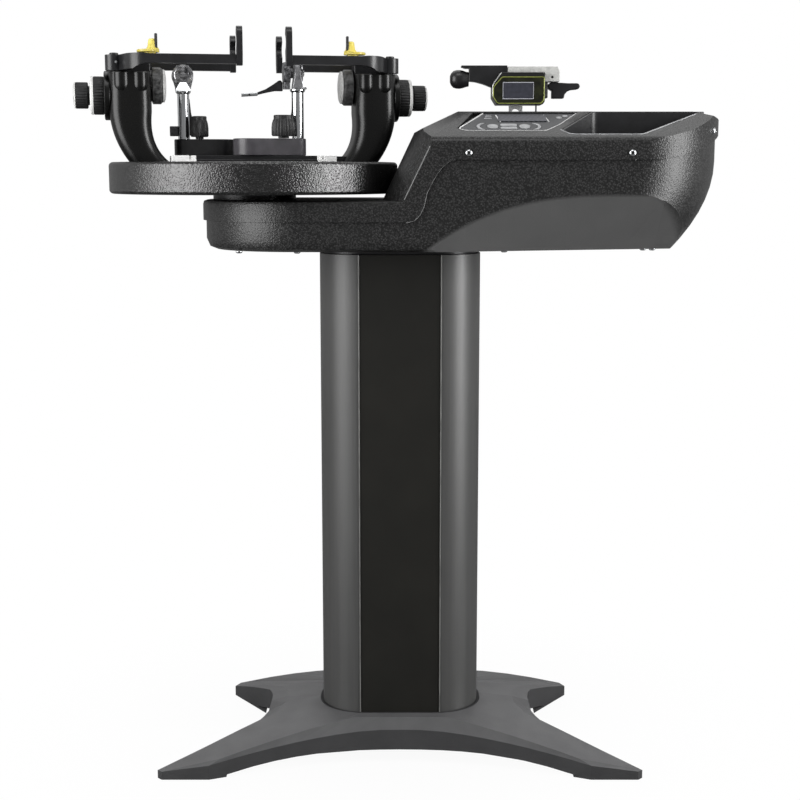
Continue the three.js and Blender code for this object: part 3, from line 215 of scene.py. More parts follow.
ground.feed(matt, {"Base Color": floor_tone, "Roughness": 0.9, "Specular IOR Level": 0.0})
glow = ground.add("ShaderNodeEmission", {}, {})
glow_seen = ((to_camera + through_glass) * glow_share).held()
matt_and_glow = {0: glow_seen, 1: Wire(ground, matt.outputs[0]), 2: glow}
floor_look = ground.add("ShaderNodeMixShader", {}, matt_and_glow)
ground.feed(ground.nodes["Material Output"], {"Surface": floor_look})


# The base: one grey casting with four toes, satin powder-coated over a fine cast skin. Its
# hub has an oval well for the column, closed by a black rubber seal whose black also paints
# the shade in the gap round the column.
class Finish(Shading):
    """A surface finish, with the place on the piece and the shader's own sockets at hand."""

    def __init__(self, name):
        super().__init__(bpy.data.materials.new(name))
        self.place = self.add("ShaderNodeTexCoord", {}, {}, "Object")
        self.made = self.nodes["Principled BSDF"]

    def coat(self, sockets):
        self.feed(self.made, sockets)

    def grain(self, scale, detail=2.0, roughness=0.5, stretch=None):
        """Noise with a number of grains in each metre, which can be drawn out along an axis."""
        place = self.place
        if stretch:
            place = self.add("ShaderNodeMapping", {}, {"Vector": place, "Scale": stretch})
        return self.add("ShaderNodeTexNoise", {}, {
            "Vector": place, "Scale": scale, "Detail": detail, "Roughness": roughness,
        })

    def relief(self, height, depth_mm, strength=1.0):
        """The normal over a height from 0 to 1 that is a number of millimetres deep."""
        return self.add("ShaderNodeBump", {}, {
            "Height": height, "Distance": depth_mm / 1000, "Strength": strength,
        })


patch_contrast, patch_offset = 2.4, 0.7


def mottled(name, dark, light, grains, sockets, skin=0, depth_mm=0.03):
    """A finish that wanders between two tones, with fine relief of so many grains a metre."""
    made = Finish(name)
    patches = (made.grain(grains, 3) * patch_contrast - patch_offset).held()
    made.coat({"Base Color": made.mixed(patches, paint(dark), paint(light))})
    made.coat(sockets)
    if skin:
        made.coat({"Normal": made.relief(made.grain(skin), depth_mm, 0.5)})
    return made


def soften(shape, round_mm, crease=30, steps=2):
    """Rounds a shape's edges that are sharper than the crease, and smooths the rest."""
    edge = shape.modifiers.new("edge", "BEVEL")
    edge.width = round_mm / 1000
    edge.segments = steps
    edge.limit_method = "ANGLE"
    edge.angle_limit = math.radians(crease)
    edge.use_clamp_overlap = True
    even = shape.modifiers.new("even", "WEIGHTED_NORMAL")
    even.weight = 80


def dress(name, finish, round_mm=0.6, crease=30, steps=2):
    """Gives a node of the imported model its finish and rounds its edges."""
    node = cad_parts[name]
    node.data.materials.clear()
    node.data.materials.append(finish.owner)
    node.data.polygons.foreach_set("use_smooth", [True] * len(node.data.polygons))
    joined = node.modifiers.new("joined", "WELD")
    joined.merge_threshold = 1e-5
    flat = node.modifiers.new("flat", "DECIMATE")
    flat.decimate_type = "DISSOLVE"
    flat.angle_limit = math.radians(0.6)
    soften(node, round_mm, crease, steps)
    return node


cast_grey = Finish("cast_grey")
mottle = cast_grey.grain(30, 3)
pores = cast_grey.grain(700, 2)
# Faces that turn upwards are painted lighter and the sides and fronts darker: painted light falling
# from above.
true_normal = cast_grey.add("ShaderNodeNewGeometry", {}, {}, "True Normal")
top_sharpness = 3
upturned = cast_grey.add("ShaderNodeSeparateXYZ", {}, {"Vector": true_normal}, "Z")
painted_top_light = upturned.held() ** top_sharpness
cast_grey.coat({
    "Base Color": cast_grey.mixed(
        painted_top_light, cast_grey.mixed(mottle, paint("#2a2a2b"), paint("#373738")),
        cast_grey.mixed(mottle, paint("#49494a"), paint("#5c5c5d")),
    ),
    "Roughness": 0.4 + pores * 0.2,
    "Normal": cast_grey.relief(pores, 0.2, 0.8),
})
dress("base_claw", cast_grey, 2.0, 13)


def skin_over(loops, closed=False):
    """Points and faces over loops of equal length, closed by end faces or into a ring."""
    count, levels = len(loops[0]), len(loops)
    faces = []
    for level in range(levels if closed else levels - 1):
        low, high = level * count, (level + 1) % levels * count
        for i in range(count):
            j = (i + 1) % count
            faces.append((low + i, low + j, high + j, high + i))
    if not closed:
        faces.append(tuple(reversed(range(count))))
        faces.append(tuple(range((levels - 1) * count, levels * count)))
    return [point for loop in loops for point in loop], faces


def at_height(outline, z):
    """An outline in X and Y as a loop of points at a height."""
    return [(x, y, z) for x, y in outline]


def arc(x, y, radius, start, end, steps):
    """Points along an arc, both ends included, with its angles in degrees."""
    turn = [math.radians(start + (end - start) * i / steps) for i in range(steps + 1)]
    return [(x + radius * math.cos(a), y + radius * math.sin(a)) for a in turn]


def rounded_box(half_x, half_y, radius, steps=8):
    """The outline of a box with round corners, about its middle."""
    x, y = half_x - radius, half_y - radius
    return [
        *arc(x, -y, radius, -90, 0, steps), *arc(x, y, radius, 0, 90, steps),
        *arc(-x, y, radius, 90, 180, steps), *arc(-x, -y, radius, 180, 270, steps),
    ]


def piece(name, skin, finish, body, turn=None, crease=35):
    """A mesh piece, given in millimetres about the column's axis, that moves with a body."""
    points, faces = skin
    turn = turn or Matrix.Identity(4)
    mesh = bpy.data.meshes.new(name)
    mesh.from_pydata([axis + (turn @ Vector(p)) / 1000 for p in points], [], faces)
    clean = bmesh.new()
    clean.from_mesh(mesh)
    bmesh.ops.remove_doubles(clean, verts=clean.verts, dist=1e-6)
    bmesh.ops.recalc_face_normals(clean, faces=clean.faces)
    clean.to_mesh(mesh)
    clean.free()
    mesh.shade_smooth()
    mesh.set_sharp_from_angle(angle=math.radians(crease))
    mesh.materials.append(finish.owner)
    made = bpy.data.objects.new(name, mesh)
    scene.collection.objects.link(made)
    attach(made, body)
    return made


# The seal is drawn black so that it also paints the shade in the gap between the column and its
# well.
seal_and_gap_shade = mottled("seal_black_and_gap_shade", "#0d0d0e", "#17171a", 60, {"Roughness": 0.7}, 1800, 0.05)
column_half_x, column_half_y, column_corner = 123, 76, 68
hub_top, seal_low, seal_gap, seal_wide, seal_deep = 67, 52, 0.4, 5, 2.4
seal_profile = (
    (seal_gap, seal_gap, hub_top + 0.6), (seal_gap, seal_gap, seal_low),
    (seal_wide, seal_deep, seal_low), (seal_wide, seal_deep, hub_top), (4.2, 1.6, hub_top + 0.8),
)
seal_loops = [
    at_height(rounded_box(column_half_x + x, column_half_y + y, column_corner + y, 10), z)
    for x, y, z in seal_profile
]
piece("column_seal", skin_over(seal_loops, True), seal_and_gap_shade, "stand")

# The column: one oval aluminium extrusion, painted satin grey, with a black strip pressed into
# a channel in front and behind. A bare rib stands along each side of each strip.
grey_aluminium = Finish("grey_aluminium")
drawn = grey_aluminium.grain(260, 2, 0.5, (1, 1, 0.012))
cloud = grey_aluminium.grain(5, 3)
grey_aluminium.coat({
    "Base Color": grey_aluminium.mixed(
        cloud * 0.5 + drawn * 0.5, paint("#303030"), paint("#454544"),
    ),
    "Metallic": 0.1,
    "Specular IOR Level": 0.6,
    "Roughness": 0.34 + drawn * 0.14,
    "Normal": grey_aluminium.relief(drawn, 0.03, 0.5),
})
dress("column", grey_aluminium, 0.5, 40)

strip_black = Finish("strip_black")
haze = strip_black.grain(12, 4)
strip_black.coat({
    "Base Color": strip_black.mixed(haze, paint("#10100e"), paint("#191814")),
    "Roughness": 0.42 + haze * 0.1,
    "Specular IOR Level": 0.3,
})
dress("column_front_trim", strip_black, 0.4)
dress("column_rear_trim", strip_black, 0.4)

# A pale metal that paints a glint along the tension head's upper left corner.
painted_glint = mottled(
    "bright_aluminium", "#a8a8a6", "#c6c6c4", 40, {"Metallic": 0.8, "Roughness": 0.34},
)
rib_grey = mottled("rib_grey", "#5e5e5c", "#7a7a78", 40, {"Metallic": 0.3, "Roughness": 0.36})


def upright(outline, low, high):
    """The skin of an outline in X and Y, drawn out from one height to another."""
    return skin_over([at_height(outline, low), at_height(outline, high)])


def shifted(outline, x, y):
    """An outline moved along its own two directions."""
    return [(px + x, py + y) for px, py in outline]


rib_x, rib_half, rib_depth, rib_low, rib_top = 61.9, 0.75, 1.6, 68, 780
rib_section = rounded_box(rib_half, rib_depth / 2, 0.4, 3)
for side, x in (("left", -rib_x), ("right", rib_x)):
    for face, y in (("front", -column_half_y), ("rear", column_half_y)):
        rib = upright(shifted(rib_section, x, y), rib_low, rib_top)
        piece(f"column_rib_{face}_{side}", rib, rib_grey, "stand")

black_steel = mottled(
    "black_steel", "#19191a", "#242426", 50, {"Metallic": 0.3, "Roughness": 0.4}, 1400,
)
dress("column_top_plate", black_steel, 0.5)

# The housing: an upper cover and a lower body, moulded in black plastic with a pebbled grain.
# They part along a stepped line, and the body's undercut side is left smooth, with a paler colour
# that paints the light bounced up from the white floor. Pan-head screws show in front, behind, on
# the nose and below.
pebble_falloff = 1.6


def speckled(finish, pebbles_per_metre):
    """A mask of round pebbles, 1 in the middle of each and 0 between them."""
    cells = finish.add("ShaderNodeTexVoronoi", {"feature": "F1"}, {
        "Vector": finish.place, "Scale": pebbles_per_metre, "Randomness": 1.0,
    })
    return (1 - cells * pebble_falloff).held()


grained = Finish("grained_plastic")
pebbles = speckled(grained, 360)
ripple = grained.grain(620, 2)
tone = grained.grain(18, 3)
run, height = (
    grained.add("ShaderNodeSeparateXYZ", {}, {"Vector": grained.place}, letter) for letter in "XZ"
)
scoop_start, scoop_run, scoop_bow = 0.030 + axis.x, 0.290, 2.7
scoop_turn, scoop_nose, scoop_fall = 0.362 + axis.x, 0.11, 0.18
scoop_bottom, scoop_top, scoop_blur, nose_blur = 0.788, 0.872, 0.006, 0.07
# Below this shoulder the body is smooth and painted paler, which stands for light bounced up from
# the white floor.
rise = ((run - scoop_start) / scoop_run).held()
tail = ((run - scoop_turn) / scoop_nose).held()
bow = (1 - (1 - rise) ** scoop_bow) * (scoop_top - scoop_bottom)
shoulder = scoop_bottom + bow - tail ** 2 * scoop_fall
undercut_smooth_and_painted_bounce = ((shoulder - height) / (tail * nose_blur + scoop_blur)).held()
pebble_tone, ripple_tone, ripple_relief, scoop_smoothing = 1.2, 0.2, 0.6, 0.85
grain_tone = (pebbles * pebble_tone + ripple * ripple_tone).held()
grain_height = (pebbles + ripple * ripple_relief) * (1 - undercut_smooth_and_painted_bounce * scoop_smoothing)
grained.coat({
    "Base Color": grained.mixed(
        undercut_smooth_and_painted_bounce, grained.mixed(grain_tone, paint("#060606"), paint("#2e2e2e")),
        grained.mixed(tone, paint("#444444"), paint("#4d4d4d")),
    ),
    "Roughness": 0.3 + ripple * 0.12,
    "Normal": grained.relief(grain_height, 0.3, 0.8),
})
dress("upper_cover", grained, 2.4, 25, 4)
dress("lower_body", grained, 1.6, 32, 3)


def spun(profile, steps=32):
    """The skin of a [radius, height] profile turned about the Z axis, closed flat at its ends."""
    turns = [2 * math.pi * i / steps for i in range(steps)]
    return skin_over([
        [(radius * math.cos(a), radius * math.sin(a), z) for a in turns] for radius, z in profile
    ])


def moved(x, y, z):
    return Matrix.Translation((x, y, z))


def spin(degrees, letter):
    return Matrix.Rotation(math.radians(degrees), 4, letter)


chrome = Finish("chrome")
chrome.coat({
    "Base Color": chrome.mixed(chrome.grain(50), paint("#cfd1d3"), paint("#e2e4e6")),
    "Metallic": 1.0,
    "Roughness": 0.12 + chrome.grain(300) * 0.06,
})
# Black for holes and sockets, painting the shade inside them.
hole_shade_black = mottled("hole_shade_black", "#080808", "#101011", 300, {"Roughness": 0.6})
pan_head = [
    (5, 0), (5, 0.7), (4.7, 1.5), (3.9, 2.3), (2.9, 2.8), (2.3, 2.9), (2.1, 2.7), (2.1, 1.2),
]
socket_shade_disc = [(2.2, 1.1), (2.2, 1.4)]


def screw(name, turn):
    """A pan-head screw with a socket, whose black floor paints the shade in it, and which stands up
    along the turned Z axis.
    """
    piece(f"{name}_socket", spun(socket_shade_disc, 12), hole_shade_black, "stand", turn)
    return piece(name, spun(pan_head, 24), chrome, "stand", turn)


bead_sides, corner_steps = 8, 4


def bead(path, radius, facing=(0, 0, 1), closed=False):
    """The skin of a thin round bead along a path that lies square to a direction."""
    points, facing = [Vector(p) for p in path], Vector(facing)
    turns = [2 * math.pi * i / bead_sides for i in range(bead_sides)]
    loops = []
    for i, point in enumerate(points):
        before = points[i - 1] if closed or i else point
        after = points[(i + 1) % len(points)] if closed or i < len(points) - 1 else point
        beside = (after - before).cross(facing).normalized()
        loops.append([
            point + radius * (beside * math.cos(a) + facing * math.sin(a)) for a in turns
        ])
    return skin_over(loops, closed)


def eased(path, radius, closed=False):
    """A path with its corners rounded by short curves."""
    points = [Vector(p) for p in path]
    made = [] if closed else [points[0]]
    for i in range(0 if closed else 1, len(points) if closed else len(points) - 1):
        corner, before, after = points[i], points[i - 1], points[(i + 1) % len(points)]
        first = corner + (before - corner).normalized() * radius
        last = corner + (after - corner).normalized() * radius
        for step in range(corner_steps + 1):
            t = step / corner_steps
            made.append(first * (1 - t) ** 2 + corner * 2 * t * (1 - t) + last * t ** 2)
    return made if closed else [*made, points[-1]]


def bowed(places, steps=10):
    """Points along the curve that a few places steer, by mixing neighbours until one is left."""
    made = []
    for i in range(steps + 1):
        left = [Vector(p) for p in places]
        while len(left) > 1:
            left = [a.lerp(b, i / steps) for a, b in zip(left, left[1:])]
        made.append(tuple(left[0]))
    return made


# Two pale beads paint the highlights along the cover's front ridge and along its stepped parting
# line.
painted_edge_highlight = mottled("painted_edge_highlight", "#505050", "#6c6c6c", 120, {"Roughness": 0.36})
toward = (0, -1, 0)
ridge_path = [(6, -164.3, 862.7), (42.6, -164.3, 938)]
ridge = bead(ridge_path, 1, toward)
piece("cover_ridge_bead", ridge, painted_edge_highlight, "stand")
step_path = [
    *bowed([(8, -164, 831), (32.5, -164, 831), (37.4, -164, 870.6)], 8),
    *bowed([(37.4, -164, 870.6), (58.4, -164, 919), (78, -164, 919)], 8)[1:],
]
step_line = bead(step_path, 0.8, toward)
piece("cover_step_bead", step_line, painted_edge_highlight, "stand")

front_y, rear_y, cover_screw_z, underside_z = -165, 165, 928.5, 788
facing_front, facing_rear, facing_down = spin(90, "X"), spin(-90, "X"), spin(180, "X")
for side, x in (("left", 97), ("right", 328)):
    head = screw(f"front_screw_{side}", moved(x, front_y, cover_screw_z) @ facing_front)
    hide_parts(f"cover_screw_{side}")
    screw(f"rear_screw_{side}", moved(x, rear_y, cover_screw_z) @ facing_rear)
nose_place, nose_degrees = (458.4, -85.4, 961), -30.6
screw("nose_screw", moved(*nose_place) @ spin(nose_degrees, "Z") @ spin(90, "Y"))
for count, (x, y) in enumerate(((-234, -122), (-149, -130), (153, -98), (366, -44), (380, -44))):
    screw(f"foot_screw_{count}", moved(x, y, underside_z) @ facing_down)

# The control panel: a printed metal plate sunk in the slope, with a bright bead round its lower
# edge, a glass screen, six silver keys, three small pale marks and two small silver lights.
slope_foot, slope_rise = 949, 40.5 / 91
slope = moved(0, front_y, slope_foot) @ Matrix.Rotation(math.atan(slope_rise), 4, "X")
panel_grey = Finish("panel_grey")
brushed = panel_grey.grain(220, 3, 0.6, (0.08, 1, 1))
panel_grey.coat({
    "Base Color": panel_grey.mixed(brushed, paint("#2a2b2d"), paint("#454649")),
    "Metallic": 0.1,
    "Specular IOR Level": 0.35,
    "Roughness": 0.36 + brushed * 0.1,
})
dress("control_panel", panel_grey, 0.4)
key_silver = Finish("key_silver")
key_cloud = key_silver.grain(140, 3)
key_silver.coat({
    "Base Color": key_silver.mixed(key_cloud, paint("#68696b"), paint("#babbbd")),
    "Metallic": 0.1,
    "Roughness": 0.4,
})
for key in ("far_left", "left", "up", "down", "right", "far_right"):
    dress(f"key_{key}", key_silver, 0.3)
screen_glass = Finish("screen_glass")
hatch = screen_glass.add(
    "ShaderNodeTexWave", {"wave_type": "BANDS", "bands_direction": "DIAGONAL"},
    {"Vector": screen_glass.place, "Scale": 90, "Distortion": 2.0},
)
screen_glass.coat({
    "Base Color": screen_glass.mixed(hatch * 0.7, paint("#2b2c30"), paint("#6e6f76")),
    "Specular IOR Level": 0.15,
    "Roughness": 0.3,
})
dress("screen", screen_glass, 0.2)

panel_top, edge_rise, side_rise = -1.5, 0.4, 0.3
panel_edge = [
    (121, 94), (82.8, 36), (94.4, 28.8), (208.4, 28.8), (230.4, 52.4), (257.5, 94),
]
edge_path = eased([(x, y, panel_top + edge_rise) for x, y in panel_edge], 7)
bead_white = mottled("bead_white", "#b9b9b9", "#dcdcdc", 60, {"Roughness": 0.3})
piece("panel_edge_bead", bead(edge_path, 1.1), bead_white, "stand", slope)

for side, back_x, front_x in (("left", 139.5, 145), ("right", 209.5, 215)):
    path = [(back_x, 88, panel_top + side_rise), (front_x, 63, panel_top + side_rise)]
    piece(f"screen_side_{side}", bead(path, 0.9), bead_white, "stand", slope)
print_grey = mottled("print_grey", "#8d8e90", "#b4b5b7", 200, {"Roughness": 0.5})
mark_end = 133
for row, (x, y) in enumerate(((122, 76), (123.5, 82), (125, 88))):
    path = [(x, y, panel_top), (mark_end, y, panel_top)]
    piece(f"panel_mark_{row}", bead(path, 0.7), print_grey, "stand", slope)
light = [(4, panel_top), (4, panel_top + 0.8), (3.2, panel_top + 1.2)]
for count, (x, y) in enumerate(((231, 78), (240, 84))):
    turn = slope @ moved(x, y, 0)
    piece(f"panel_light_{count}", spun(light, 20), key_silver, "stand", turn)

# The tool tray: a black moulded pocket let into the slope beside the panel, with a pale bead
# along its near edges that paints the highlight on the opening's edge, and a round fillet in its
# rear left corner.
moulded_black = mottled(
    "black_plastic", "#161617", "#202022", 80, {"Roughness": 0.36}, 1500, 0.04,
)
dress("tool_tray", moulded_black, 0.6)


def on_slope(x, y, out):
    """A point above or below the housing's slope."""
    return (x, y, slope_foot + (y - front_y) * slope_rise + out)


# The pale bead along the opening's near edges paints the highlight on that edge.
painted_lip_highlight = mottled("painted_lip_highlight", "#8c8d8f", "#b4b5b7", 90, {"Roughness": 0.3})
lip = [(229, -137.5), (242, -152.4), (344, -152.4), (432, -83.4)]
lip_rise, fillet_sink, tray_floor = 0.1, 0.8, 925.4
lip_path = eased([on_slope(x, y, lip_rise) for x, y in lip], 7)
piece("tray_lip", bead(lip_path, 0.8), painted_lip_highlight, "stand")
fillet_plan = [(283.5, -75.4), *arc(290.2, -89.0, 13.8, 90, 141, 8)]
fillet_top = [on_slope(x, y, -fillet_sink) for x, y in fillet_plan]
fillet = skin_over([at_height(fillet_plan, tray_floor), fillet_top])
piece("tray_fillet", fillet, moulded_black, "stand", crease=60)

# The chassis and the drive: a steel plate along the body with the turntable's bearing, the
# tension rail and its guide bar, and a gearcase with its motor, all bolted down out of sight.
bare_steel = Finish("bare_steel")
rolled = bare_steel.grain(220, 3, 0.6, (1, 0.06, 1))
bare_steel.coat({
    "Base Color": bare_steel.mixed(rolled, paint("#9fa1a3"), paint("#b9bbbd")),
    "Metallic": 0.9,
    "Roughness": 0.3 + rolled * 0.15,
    "Normal": bare_steel.relief(rolled, 0.02, 0.4),
})
for name, finish in (
    ("chassis_plate", bare_steel), ("tension_rail", bare_steel), ("turntable_bearing", black_steel),
    ("guide_bar", chrome), ("drive_gearcase", black_steel), ("drive_motor", black_steel),
):
    dress(name, finish, 0.4)
board_green = mottled("board_green", "#12351f", "#1a4a2b", 160, {"Roughness": 0.3})
dress("control_board", board_green, 0.2)

# The power inlet and the rocker switch, moulded in black and clipped into the rear of the
# body. Three flat steel pins stand in the inlet's socket.
dress("power_inlet", moulded_black, 0.4)
dress("power_switch", moulded_black, 0.4)


def slab(outline, start, end):
    """The skin of an outline in X and Z, drawn out between two places along Y."""
    return skin_over([[(x, y, z) for x, z in outline] for y in (start, end)])


pin_section, pin_root, pin_end = rounded_box(1, 2.4, 0.6, 3), 152, 159
for name, x, z in (("left", 125.5, 889.5), ("right", 138.5, 889.5), ("earth", 132, 896)):
    prong = slab(shifted(pin_section, x, z), pin_root, pin_end)
    piece(f"inlet_pin_{name}", prong, bare_steel, "stand")

# The turntable: a heavy disc in the housing's grained plastic on a steel spindle. A track across
# it carries the string clamps: it is black, with a bright end left and right and a black stop.
disc_grain = Finish("disc_grain")
disc_pebbles = speckled(disc_grain, 385)
disc_ripple = disc_grain.grain(800, 2)
disc_ripple_relief = 0.8
disc_grain.coat({
    "Base Color": disc_grain.mixed(disc_pebbles, paint("#040404"), paint("#222222")),
    "Specular IOR Level": 0.9,
    "Roughness": 0.2 + disc_ripple * 0.1,
    "Normal": disc_grain.relief(disc_pebbles + disc_ripple * disc_ripple_relief, 0.36),
})
dress("turntable_disc", disc_grain, 2.6, 40, 4)
table_x, table_turn = -222, 10
table = moved(table_x, 0, 0) @ spin(table_turn, "Z")
track_metal = Finish("track_metal")
table_place = track_metal.add("ShaderNodeMapping", {"vector_type": "TEXTURE"}, {
    "Vector": track_metal.place,
    "Location": tuple(axis + Vector((table_x / 1000, 0, 0))),
    "Rotation": (0, 0, math.radians(table_turn)),
})
track_x = track_metal.add("ShaderNodeSeparateXYZ", {}, {"Vector": table_place}, "X")
rail_half, mask_blur = 0.0898, 0.0003
on_rail = ((rail_half - abs(track_x)) / mask_blur).held()
milled = track_metal.grain(260, 2, 0.5, (1, 0.1, 1))
track_metal.coat({
    "Base Color": track_metal.mixed(
        on_rail, track_metal.mixed(milled, paint("#f0f0ee"), paint("#ffffff")),
        track_metal.mixed(milled, paint("#141415"), paint("#1e1e20")),
    ),
    "Metallic": on_rail * 0.1,
    "Roughness": 0.3 + milled * 0.08,
})
dress("clamp_track", track_metal, 0.5)
stop_x, stop_low, stop_top = 132, 916.6, 925.4
stop = upright(shifted(rounded_box(11, 30, 2, 3), stop_x, 0), stop_low, stop_top)
soften(piece("track_end_block", stop, black_steel, "turntable", table), 0.8)

# The towers: two curved aluminium castings in gloss black that slide on the disc. Each has two
# shallow finger lobes below its carrier, a ribbed pad knob and arm knob, and a rubber pad.
gloss_black = Finish("gloss_black")
gloss_black.coat({
    "Base Color": gloss_black.mixed(gloss_black.grain(30), paint("#040404"), paint("#0a0a09")),
    "Roughness": 0.25 + gloss_black.grain(900) * 0.06,
    "Specular IOR Level": 0.38,
    "Normal": gloss_black.relief(gloss_black.grain(240), 0.04, 0.4),
})
satin_black = mottled(
    "satin_black", "#131314", "#1d1d1f", 40, {"Roughness": 0.33}, 1100, 0.04,
)
knob_black = mottled("knob_black", "#0c0c0c", "#19191a", 70, {"Roughness": 0.5}, 1500, 0.05)
pad_rubber = mottled("pad_rubber", "#0e0e0e", "#5c5c5c", 230, {"Roughness": 0.4}, 500, 0.16)
pale_ring = mottled("pale_ring", "#cdcdcb", "#ececea", 50, {"Roughness": 0.3})
pad_face = Finish("pad_face")
face_specks = pad_face.grain(260, 3, 0.65)
pad_face.coat({
    "Base Color": pad_face.mixed(face_specks, paint("#6a6a6a"), paint("#fafaf8")),
    "Roughness": 0.35,
    "Normal": pad_face.relief(face_specks, 0.15, 0.6),
})
yellow_plastic = Finish("yellow_plastic")
yellow_cloud = yellow_plastic.grain(45)
yellow_plastic.coat({
    "Base Color": yellow_plastic.mixed(yellow_cloud, paint("#d5be48"), paint("#e8da74")),
    "Roughness": 0.3,
    "Normal": yellow_plastic.relief(yellow_plastic.grain(900), 0.03, 0.4),
})


def ribbed(radius, ribs, depth):
    """A round outline with ribs as wide as the grooves between them."""
    steps = 6
    points = []
    for i in range(ribs * steps):
        around = 2 * math.pi * i / (ribs * steps)
        wave = math.cos(2 * math.pi * i / steps)
        out = radius - depth * (1 - wave) / 2
        points.append((out * math.cos(around), out * math.sin(around)))
    return points


def knurled(profile, ribs):
    """The skin of a [radius, rib depth, height] profile with ribs round it."""
    return skin_over([at_height(ribbed(radius, ribs, depth), z) for radius, depth, z in profile])


tower_outer, tower_inner, tower_half_depth = 214, 152, 42
front_round, back_round = 19, 27
tower_levels = (916.8, 935, 960, 990)
outer_tucks, inner_steps = (27, 13, 1.5, 0), (-24, -2, 3.5, 0)
outer_line = bowed([(tower_outer - tuck, z) for tuck, z in zip(outer_tucks, tower_levels)])
inner_line = bowed([(tower_inner + step, z) for step, z in zip(inner_steps, tower_levels)])
tower_top, top_edge, top_inset = 1047.6, 1.2, 1
carrier_half, carrier_inset, carrier_sink, carrier_top = 14, 3, 1, 1071.5
carrier_outer = tower_outer - carrier_inset
lobes = ((19.5, 12.5, 9), (46, 11.5, 8))
lobe_foot, lobe_bend, lobe_degrees = 1015, 1030, (6, 20, 35, 50, 65, 80, 90)
pivot_x, pivot_y, knob_z, pad_rise = 205, 28, 1014, 15


def tower_section(x0, x1, z, front):
    """The outline of a tower at a height, with its front at the low or the high side of Y."""
    half = tower_half_depth
    plan = [
        *arc(x0 + front_round, -half + front_round, front_round, 180, 270, 8),
        *arc(x1 - front_round, -half + front_round, front_round, 270, 360, 8),
        *arc(x1 - back_round, half - back_round, back_round, 0, 90, 8),
        *arc(x0 + back_round, half - back_round, back_round, 90, 180, 8),
    ]
    return [(x, -front * y, z) for x, y in plan]


def lobe_profile(radius):
    """A finger lobe's outline: a rounded foot and a straight side with its edge eased."""
    bent = lobe_bend - lobe_foot
    angles = [math.radians(degrees) for degrees in lobe_degrees]
    foot = [(radius * math.sin(a), lobe_bend - bent * math.cos(a)) for a in angles]
    return [*foot, (radius, tower_top - 1.8), (radius - 1.5, tower_top - 0.4)]


flange = [(33, 210), (35.4, 212), (36, 213), (36, 219.4), (35, 220.6), (34, 220.9)]
pin_cap = [
    (4, tower_top - 1), (4, carrier_top - 0.4), (6.5, carrier_top - 0.3),
    (6.5, carrier_top + 1.8), (5.6, carrier_top + 2.6), (3, carrier_top + 2.9),
]
pad_grip = [(27, 0.3, 221.4), (28, 0.9, 222.6), (28, 0.9, 235.4), (27.2, 0.3, 236.6)]
pad_ring = [(24, 236.4), (27.8, 236.6), (27.9, 239.8), (26.6, 241.2), (15, 241.2)]
pad_plate = [(23.4, 240.6), (23.4, 241.4), (22.6, 241.6)]
arm_grip = [
    (14, 0, 241.7), (14, 0, 244.4), (18.2, 0.2, 244.5), (19.3, 0.8, 245.6), (19.3, 0.8, 261.8),
    (18.6, 0.3, 262.9),
]
arm_rim = [(16, 262.7), (19, 262.9), (19, 264.2), (17.6, 265.1), (8, 265)]
arm_plate = [(16.2, 264.6), (16.2, 265.4), (15.2, 265.6)]
knobs = (
    ("pad_knob", pad_grip, 40, "ring", pad_ring, 48, pad_plate, 40),
    ("arm_knob", arm_grip, 30, "rim", arm_rim, 40, arm_plate, 32),
)
dome = [(24.5, -134.6), (24, -132.8), (21, -131.2), (15, -130.2), (7, -129.8)]
carrier_plan = rounded_box((carrier_outer - tower_inner) / 2, carrier_half, 3, 4)
carrier = upright(carrier_plan, tower_top - carrier_sink, carrier_top)
towers = {}
for side, half_turn, front in (("left", 180, 1), ("right", 0, -1)):
    tower = table @ spin(half_turn, "Z")
    towers[side] = (tower, front)
    tower_body = f"{side}_tower"
    loops = [
        tower_section(inner, outer, z, front)
        for (outer, z), (inner, _) in zip(outer_line, inner_line)
    ]
    loops += [
        tower_section(tower_inner, tower_outer, tower_top - top_edge, front),
        tower_section(tower_inner + top_inset, tower_outer - top_inset, tower_top, front),
    ]
    casting = piece(f"{side}_tower_casting", skin_over(loops), gloss_black, tower_body,
                    tower, 50)
    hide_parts(tower_body)
    turn = tower @ moved((carrier_outer + tower_inner) / 2, 0, 0)
    top_block = piece(f"{side}_tower_carrier", carrier, satin_black, tower_body,
                      turn)
    soften(top_block, 1)
    for count, (inwards, radius, sink) in enumerate(lobes):
        turn = tower @ moved(tower_outer - inwards, front * (tower_half_depth - sink), 0)
        piece(f"{side}_tower_lobe_{count}", spun(lobe_profile(radius), 40), gloss_black, tower_body,
              turn)
    outwards = tower @ moved(0, 0, knob_z) @ spin(90, "Y")
    piece(f"{side}_tower_flange", spun(flange, 56), gloss_black, tower_body,
          outwards)
    for end, y in (("front", front * pivot_y), ("rear", -front * pivot_y)):
        piece(f"{side}_{end}_pin_cap", spun(pin_cap, 20), black_steel, tower_body,
              tower @ moved(pivot_x, y, 0))
    for knob, grip, ribs, edge, edge_profile, edge_steps, plate_profile, plate_steps in knobs:
        body = f"{side}_{knob}"
        handle = piece(f"{body}_grip", knurled(grip, ribs), knob_black, body,
                       outwards)
        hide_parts(f"{side}_{knob}")
        piece(f"{body}_{edge}", spun(edge_profile, edge_steps), pale_ring, body,
              outwards)
        piece(f"{body}_plate", spun(plate_profile, plate_steps), knob_black, body,
              outwards)
    dress(f"{side}_pad", pad_rubber, 1.6, 30, 3)
    turn = tower @ moved(0, 0, knob_z + pad_rise) @ spin(-90, "Y")
    piece(f"{side}_pad_face", spun(dome, 40), pad_face, f"{side}_pad", turn)

# The side arms: two black castings on each tower that swing on upright pins and end in an open
# hook for the racket's frame. A bright pin stub shows in the root of the left front arm.
for side in towers:
    for end in ("front", "rear"):
        dress(f"{side}_{end}_arm", satin_black, 1.2, 30, 3)
stub, stub_place = [(1.9, 0), (1.9, 2.2), (1.2, 2.8)], (-413, -76.2, 1060)
piece("left_front_arm_stub", spun(stub, 16), chrome, "left_front_arm",
      moved(*stub_place) @ facing_front)

